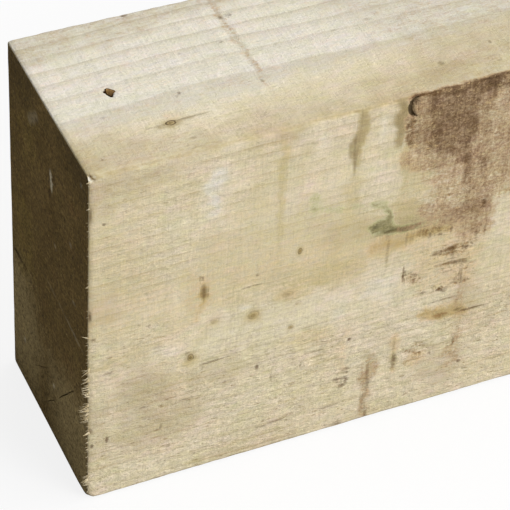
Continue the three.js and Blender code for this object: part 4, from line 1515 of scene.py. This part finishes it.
def cut_wood():
    """The end cuts: faint rings round the pith, rays, open pores and the saw's scratches."""
    w = Wiring("end_grain_wood")
    place = w.place()
    mark, growth = w.field("mark"), w.field("growth")
    purple, _, _ = w.field("patch_0")
    yellow, white, _ = w.field("patch_1")
    late = late_wood(w, *growth_rings(w, place, growth[0], 0.0))
    t = textures(w, place, CUT_TEXTURES)
    rays = ray_pattern(w, place)
    pores = w.add(t.flecks, (t.grit, 0.5))
    speck, pale = mark_signs(w, t, mark, growth)

    colour = w.mix(w.step(t.cloud, -0.9, 0.9), srgb(126, 104, 62), srgb(108, 88, 49))
    colour = w.washes(colour, (
        (t.damp, 0.1, 1.2, 0.40, (98, 86, 44)),
        (t.damp, -0.2, -1.2, 0.35, (130, 98, 62)),
    ))
    colour = w.wash(colour, late[0], 0.22, (84, 66, 36))
    colour = w.washes(colour, (
        # rays, then pale, olive and dark patches, then torn and raised pores
        (rays, 0.2, 1.2, 0.16, (160, 138, 90)),
        (w.add(white, (t.tufts, 0.16), (t.grit, 0.12)), 0.0, 1.0, 0.60, (178, 158, 112)),
        (w.add(yellow, (t.tufts, 0.30)), 0.05, 1.0, 0.50, (138, 120, 58)),
        (w.add(purple, (t.tufts, 0.20)), 0.0, 1.0, 0.50, (74, 60, 34)),
        (pores, -0.35, -1.25, 0.80, (58, 42, 20)),
        (pores, 0.45, 1.35, 0.66, (174, 152, 106)),
    ))
    colour = w.wash(colour, speck, 0.80, (62, 46, 22))
    colour = w.wash(colour, pale, 0.80, (226, 214, 184))
    light = w.add((t.grit, 0.75, 0.98), (t.scratch, 0.14), (t.tufts, 0.16))
    height = w.add((t.grit, 0.09), (t.scratch, 0.07), (t.flecks, 0.12), (late[0], 0.08),
                   (rays, 0.03), (speck, -0.2))
    return w.finish(w.shade(colour, light), height, w.scaled(t.grit, 0.04, 0.88), 0.05)


def fibre_wood():
    """Loose fibres and splinters: the pale inside of the wood."""
    w = Wiring("loose_fibre_wood")
    grain = w.noise(w.place(), (3, 1, 3), 2.0, 0.6)
    colour = w.mix(w.step(grain, 0.3, 0.7), srgb(226, 212, 180), srgb(186, 166, 124))
    return w.finish(colour, w.scaled(grain, 0.15), w.scaled(grain, 0.2, 0.7))


# ---------------------------------------------------------------- splinters and loose fibres
# Tufts along the near end's front arris: from and to below the top, how many, shortest and longest,
# how far they droop and how far they curl.
FRINGE = (
    (3, 100, 30, 0.4, 1.2, 0.3, 0.3), (100, 141, 12, 0.5, 1.8, 0.3, 0.5),
    (140, 151, 14, 1.8, 5.0, 0.5, 0.8), (153, 164, 22, 1.6, 5.0, 0.3, 1.6),
    (168, 183, 26, 2.0, 6.5, 0.3, 1.1), (183, 200, 9, 0.5, 1.8, 0.3, 0.5),
    (199, 209, 16, 0.6, 1.8, 0.4, 0.4), (209, 226, 7, 0.4, 1.4, 0.3, 0.3),
    (226, 237, 28, 1.0, 4.6, 0.5, 0.5), (237, 244, 6, 0.6, 1.6, 0.3, 0.3),
)
# Single fibres that stand out: below the top, length, aim down, sideways aim, curl, half thickness.
LONG_FIBRES = (
    (117.0, 6.5, -0.62, -0.20, 0.20, 0.34), (142.0, 6.5, 0.70, -0.15, 0.20, 0.40),
    (157.0, 5.0, -0.05, -0.30, 0.90, 0.55), (160.0, 5.5, -0.25, -0.30, 1.60, 0.50),
    (163.0, 15.0, -0.55, -0.25, 5.00, 0.34), (173.5, 7.5, 0.05, -0.25, 1.30, 0.42),
    (176.5, 6.5, 0.25, -0.25, 1.00, 0.50), (179.5, 6.0, 0.30, -0.20, 0.90, 0.42),
    (192.5, 4.5, 0.15, -0.20, 0.10, 1.10), (232.0, 6.0, 0.10, -0.20, 0.30, 0.45),
    (235.0, 4.5, 0.30, -0.20, 0.40, 0.40), (3.4, 2.6, 0.15, -0.10, 0.05, 0.70),
)


class Strands:
    """Collects tapered strands into one mesh."""

    def __init__(self):
        self.vertices = []
        self.faces = []

    def add(self, start, aim, length, thick, curl, steps=6, sides=5):
        """One strand: it leaves `start` along `aim`, tapers to a point and curls downwards."""
        place, heading = Vector(start), Vector(aim).normalized()
        hinge = heading.cross(Vector((0.2, 1.0, 0.1))).normalized()
        base = len(self.vertices)
        for step in range(steps):
            t = step / steps
            flat, tall = thick * (1 - t) ** 0.7, 0.55 * thick * (1 - t) ** 0.7
            lift = heading.cross(hinge).normalized()
            for k in range(sides):
                turn = 2 * math.pi * k / sides
                spot = place + hinge * (flat * math.cos(turn)) + lift * (tall * math.sin(turn))
                self.vertices.append(tuple(spot * MM))
            place = place + heading * (length / steps)
            heading = (Matrix.Rotation(curl / steps, 3, hinge) @ heading).normalized()
        self.vertices.append(tuple(place * MM))
        for step in range(steps - 1):
            for k in range(sides):
                a, b = base + step * sides + k, base + step * sides + (k + 1) % sides
                self.faces.append((a, b, b + sides, a + sides))
        last = base + (steps - 1) * sides
        tip = len(self.vertices) - 1
        self.faces.extend((last + k, last + (k + 1) % sides, tip) for k in range(sides))
        self.faces.append(tuple(base + k for k in range(sides))[::-1])

    def build(self, name, material):
        mesh = new_mesh(name, self.vertices, self.faces)
        mesh.materials.append(material)
        return shown(name, mesh)


# Every root sinks this far into the wood behind the arris, and its length grows by as much.
ROOT_DEPTH = 1.2


def build_fringe(material):
    """The splinters that the cross-cut left along the near end's front arris."""
    rng = random.Random(77)
    strands = Strands()
    for start, stop, count, shortest, longest, droop, curl in FRINGE:
        for _ in range(count):
            below = rng.uniform(start, stop)
            root = (NEAR + rng.uniform(0.5, 1.6), FRONT + rng.uniform(0.5, 1.1), TOP - below)
            aim = (-1, rng.uniform(-0.35, 0.15), rng.uniform(-0.35, 0.35) - droop)
            length = rng.uniform(shortest, longest) + ROOT_DEPTH
            bend = rng.uniform(0.3, 1.6) * curl
            strands.add(root, aim, length, rng.uniform(0.18, 0.46), bend)
    for below, length, down, side, curl, thick in LONG_FIBRES:
        root = (NEAR + 1.0, FRONT + 0.7, TOP - below)
        strands.add(root, (-1, side, -down), length, thick, curl, steps=12)
    return strands.build("end_splinters", material)


# ---------------------------------------------------------------- studio
# The camera sees the pale floor and the white room; the light that they send on is plainer.
FLOOR_REACH = 9.0
FLOOR_SEEN = (0.90, 0.90, 0.90, 1.0)
FLOOR_SENT = (0.40, 0.40, 0.40, 1.0)
FLOOR_LIFT = 0.84


def seen_directly(w):
    """1 for what the camera sees, directly or mirrored, and 0 for light that lights something."""
    rays = w.node("ShaderNodeLightPath").outputs
    return w.highest(w.highest(rays["Is Camera Ray"], rays["Is Glossy Ray"]),
                     rays["Is Transmission Ray"])


def floor_paint():
    """Plain pale paint that looks white to the camera away from the shadow."""
    w = Wiring("studio_floor_paint")
    seen = seen_directly(w)
    matt = w.node("ShaderNodeBsdfDiffuse", {"Color": w.mix(seen, FLOOR_SENT, FLOOR_SEEN)})
    white = w.node("ShaderNodeEmission")
    both = w.node("ShaderNodeMixShader", {
        0: w.times(seen, FLOOR_LIFT), 1: matt.outputs[0], 2: white.outputs[0]})
    w.node("ShaderNodeOutputMaterial", {"Surface": both.outputs[0]})
    return w.material


def build_floor():
    """A wide plain floor, which keeps the sleeper's shadow."""
    mesh = bpy.data.meshes.new("studio_floor")
    corners = [(x * FLOOR_REACH, y * FLOOR_REACH, 0) for x, y in ((-1, -1), (1, -1), (1, 1), (-1, 1))]
    mesh.from_pydata(corners, [], [(0, 1, 2, 3)])
    mesh.materials.append(floor_paint())
    floor = shown("studio_floor", mesh)
    floor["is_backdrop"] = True


# A soft key from the front, and a wide glow from beyond the far end that leaves the near one dim.
KEY_FROM = (0.45, -0.72, 0.54)
KEY_STRENGTH = 1.35
KEY_SOFTNESS = 28.0
GLOW_FROM = (0.90, -0.27, 0.34)
GLOW_STRENGTH = 2.0
SKY_STRENGTH = 0.17


def build_key():
    lamp = bpy.data.lights.new("key", "SUN")
    lamp.energy = KEY_STRENGTH
    lamp.angle = math.radians(KEY_SOFTNESS)
    key = shown("key", lamp)
    key.rotation_mode = "QUATERNION"
    key.rotation_quaternion = Vector(KEY_FROM).to_track_quat("Z", "Y")


def build_sky():
    """A dim sky that glows on one side, and that the camera sees as white."""
    world = bpy.data.worlds.new("studio")
    bpy.context.scene.world = world
    world.use_nodes = True
    w = Wiring.within(world.node_tree)
    outward = w.node("ShaderNodeTexCoord").outputs["Generated"]
    toward = w.node("ShaderNodeVectorMath", {0: outward, 1: Vector(GLOW_FROM).normalized()},
                    operation="DOT_PRODUCT")
    glow = w.scaled(w.highest(toward.outputs["Value"], 0.0), GLOW_STRENGTH, SKY_STRENGTH)
    strength = w.node("ShaderNodeMix", {"Factor": seen_directly(w), "A": glow, "B": 1.0})
    sky = w.node("ShaderNodeBackground", {"Color": (1.0, 1.0, 1.0, 1.0),
                                          "Strength": strength.outputs["Result"]})
    w.node("ShaderNodeOutputWorld", {"Surface": sky.outputs[0]})


# The photograph's viewpoint: metres along X, Y and Z from the near end's bottom front corner, its
# heading from +Y towards +X, how far it looks down, its tilt, and its lens.
CAMERA_PLACE = (-0.35439, -0.90638, 1.09668)
CAMERA_HEADING = 26.551
CAMERA_DOWN = 42.645
CAMERA_TILT = 3.755
CAMERA_LENS = 175.75
CAMERA_SENSOR = 36.0
CAMERA_CLIP = 0.05


def build_camera():
    heading, down, tilt = (math.radians(a) for a in (CAMERA_HEADING, CAMERA_DOWN, CAMERA_TILT))
    ahead = Vector((
        math.sin(heading) * math.cos(down), math.cos(heading) * math.cos(down), -math.sin(down)))
    level = Vector((math.cos(heading), -math.sin(heading), 0))
    above = level.cross(ahead)
    right = level * math.cos(tilt) + above * math.sin(tilt)
    up = above * math.cos(tilt) - level * math.sin(tilt)
    data = bpy.data.cameras.new("camera")
    data.lens = CAMERA_LENS
    data.sensor_width = CAMERA_SENSOR
    data.clip_start = CAMERA_CLIP
    camera = shown("camera", data)
    corner = Vector((NEAR * MM, FRONT * MM, LOW[2] * MM))
    turned = Matrix((right, up, -ahead)).transposed().to_4x4()
    camera.matrix_world = Matrix.Translation(corner + Vector(CAMERA_PLACE)) @ turned
    bpy.context.scene.camera = camera


# ---------------------------------------------------------------- putting it together
baulk = build_baulk()
baulk.data.materials.append(face_wood())
baulk.data.materials.append(cut_wood())
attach(baulk, "root")
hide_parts("sleeper")

fringe = build_fringe(fibre_wood())
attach(fringe, "root")

build_floor()
build_key()
build_sky()
build_camera()
bpy.context.scene.view_settings.view_transform = "Standard"

boxes = {"cad": CAD_BOX, "visual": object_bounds()}
plain = {name: [[float(v) for v in corner] for corner in box] for name, box in boxes.items()}
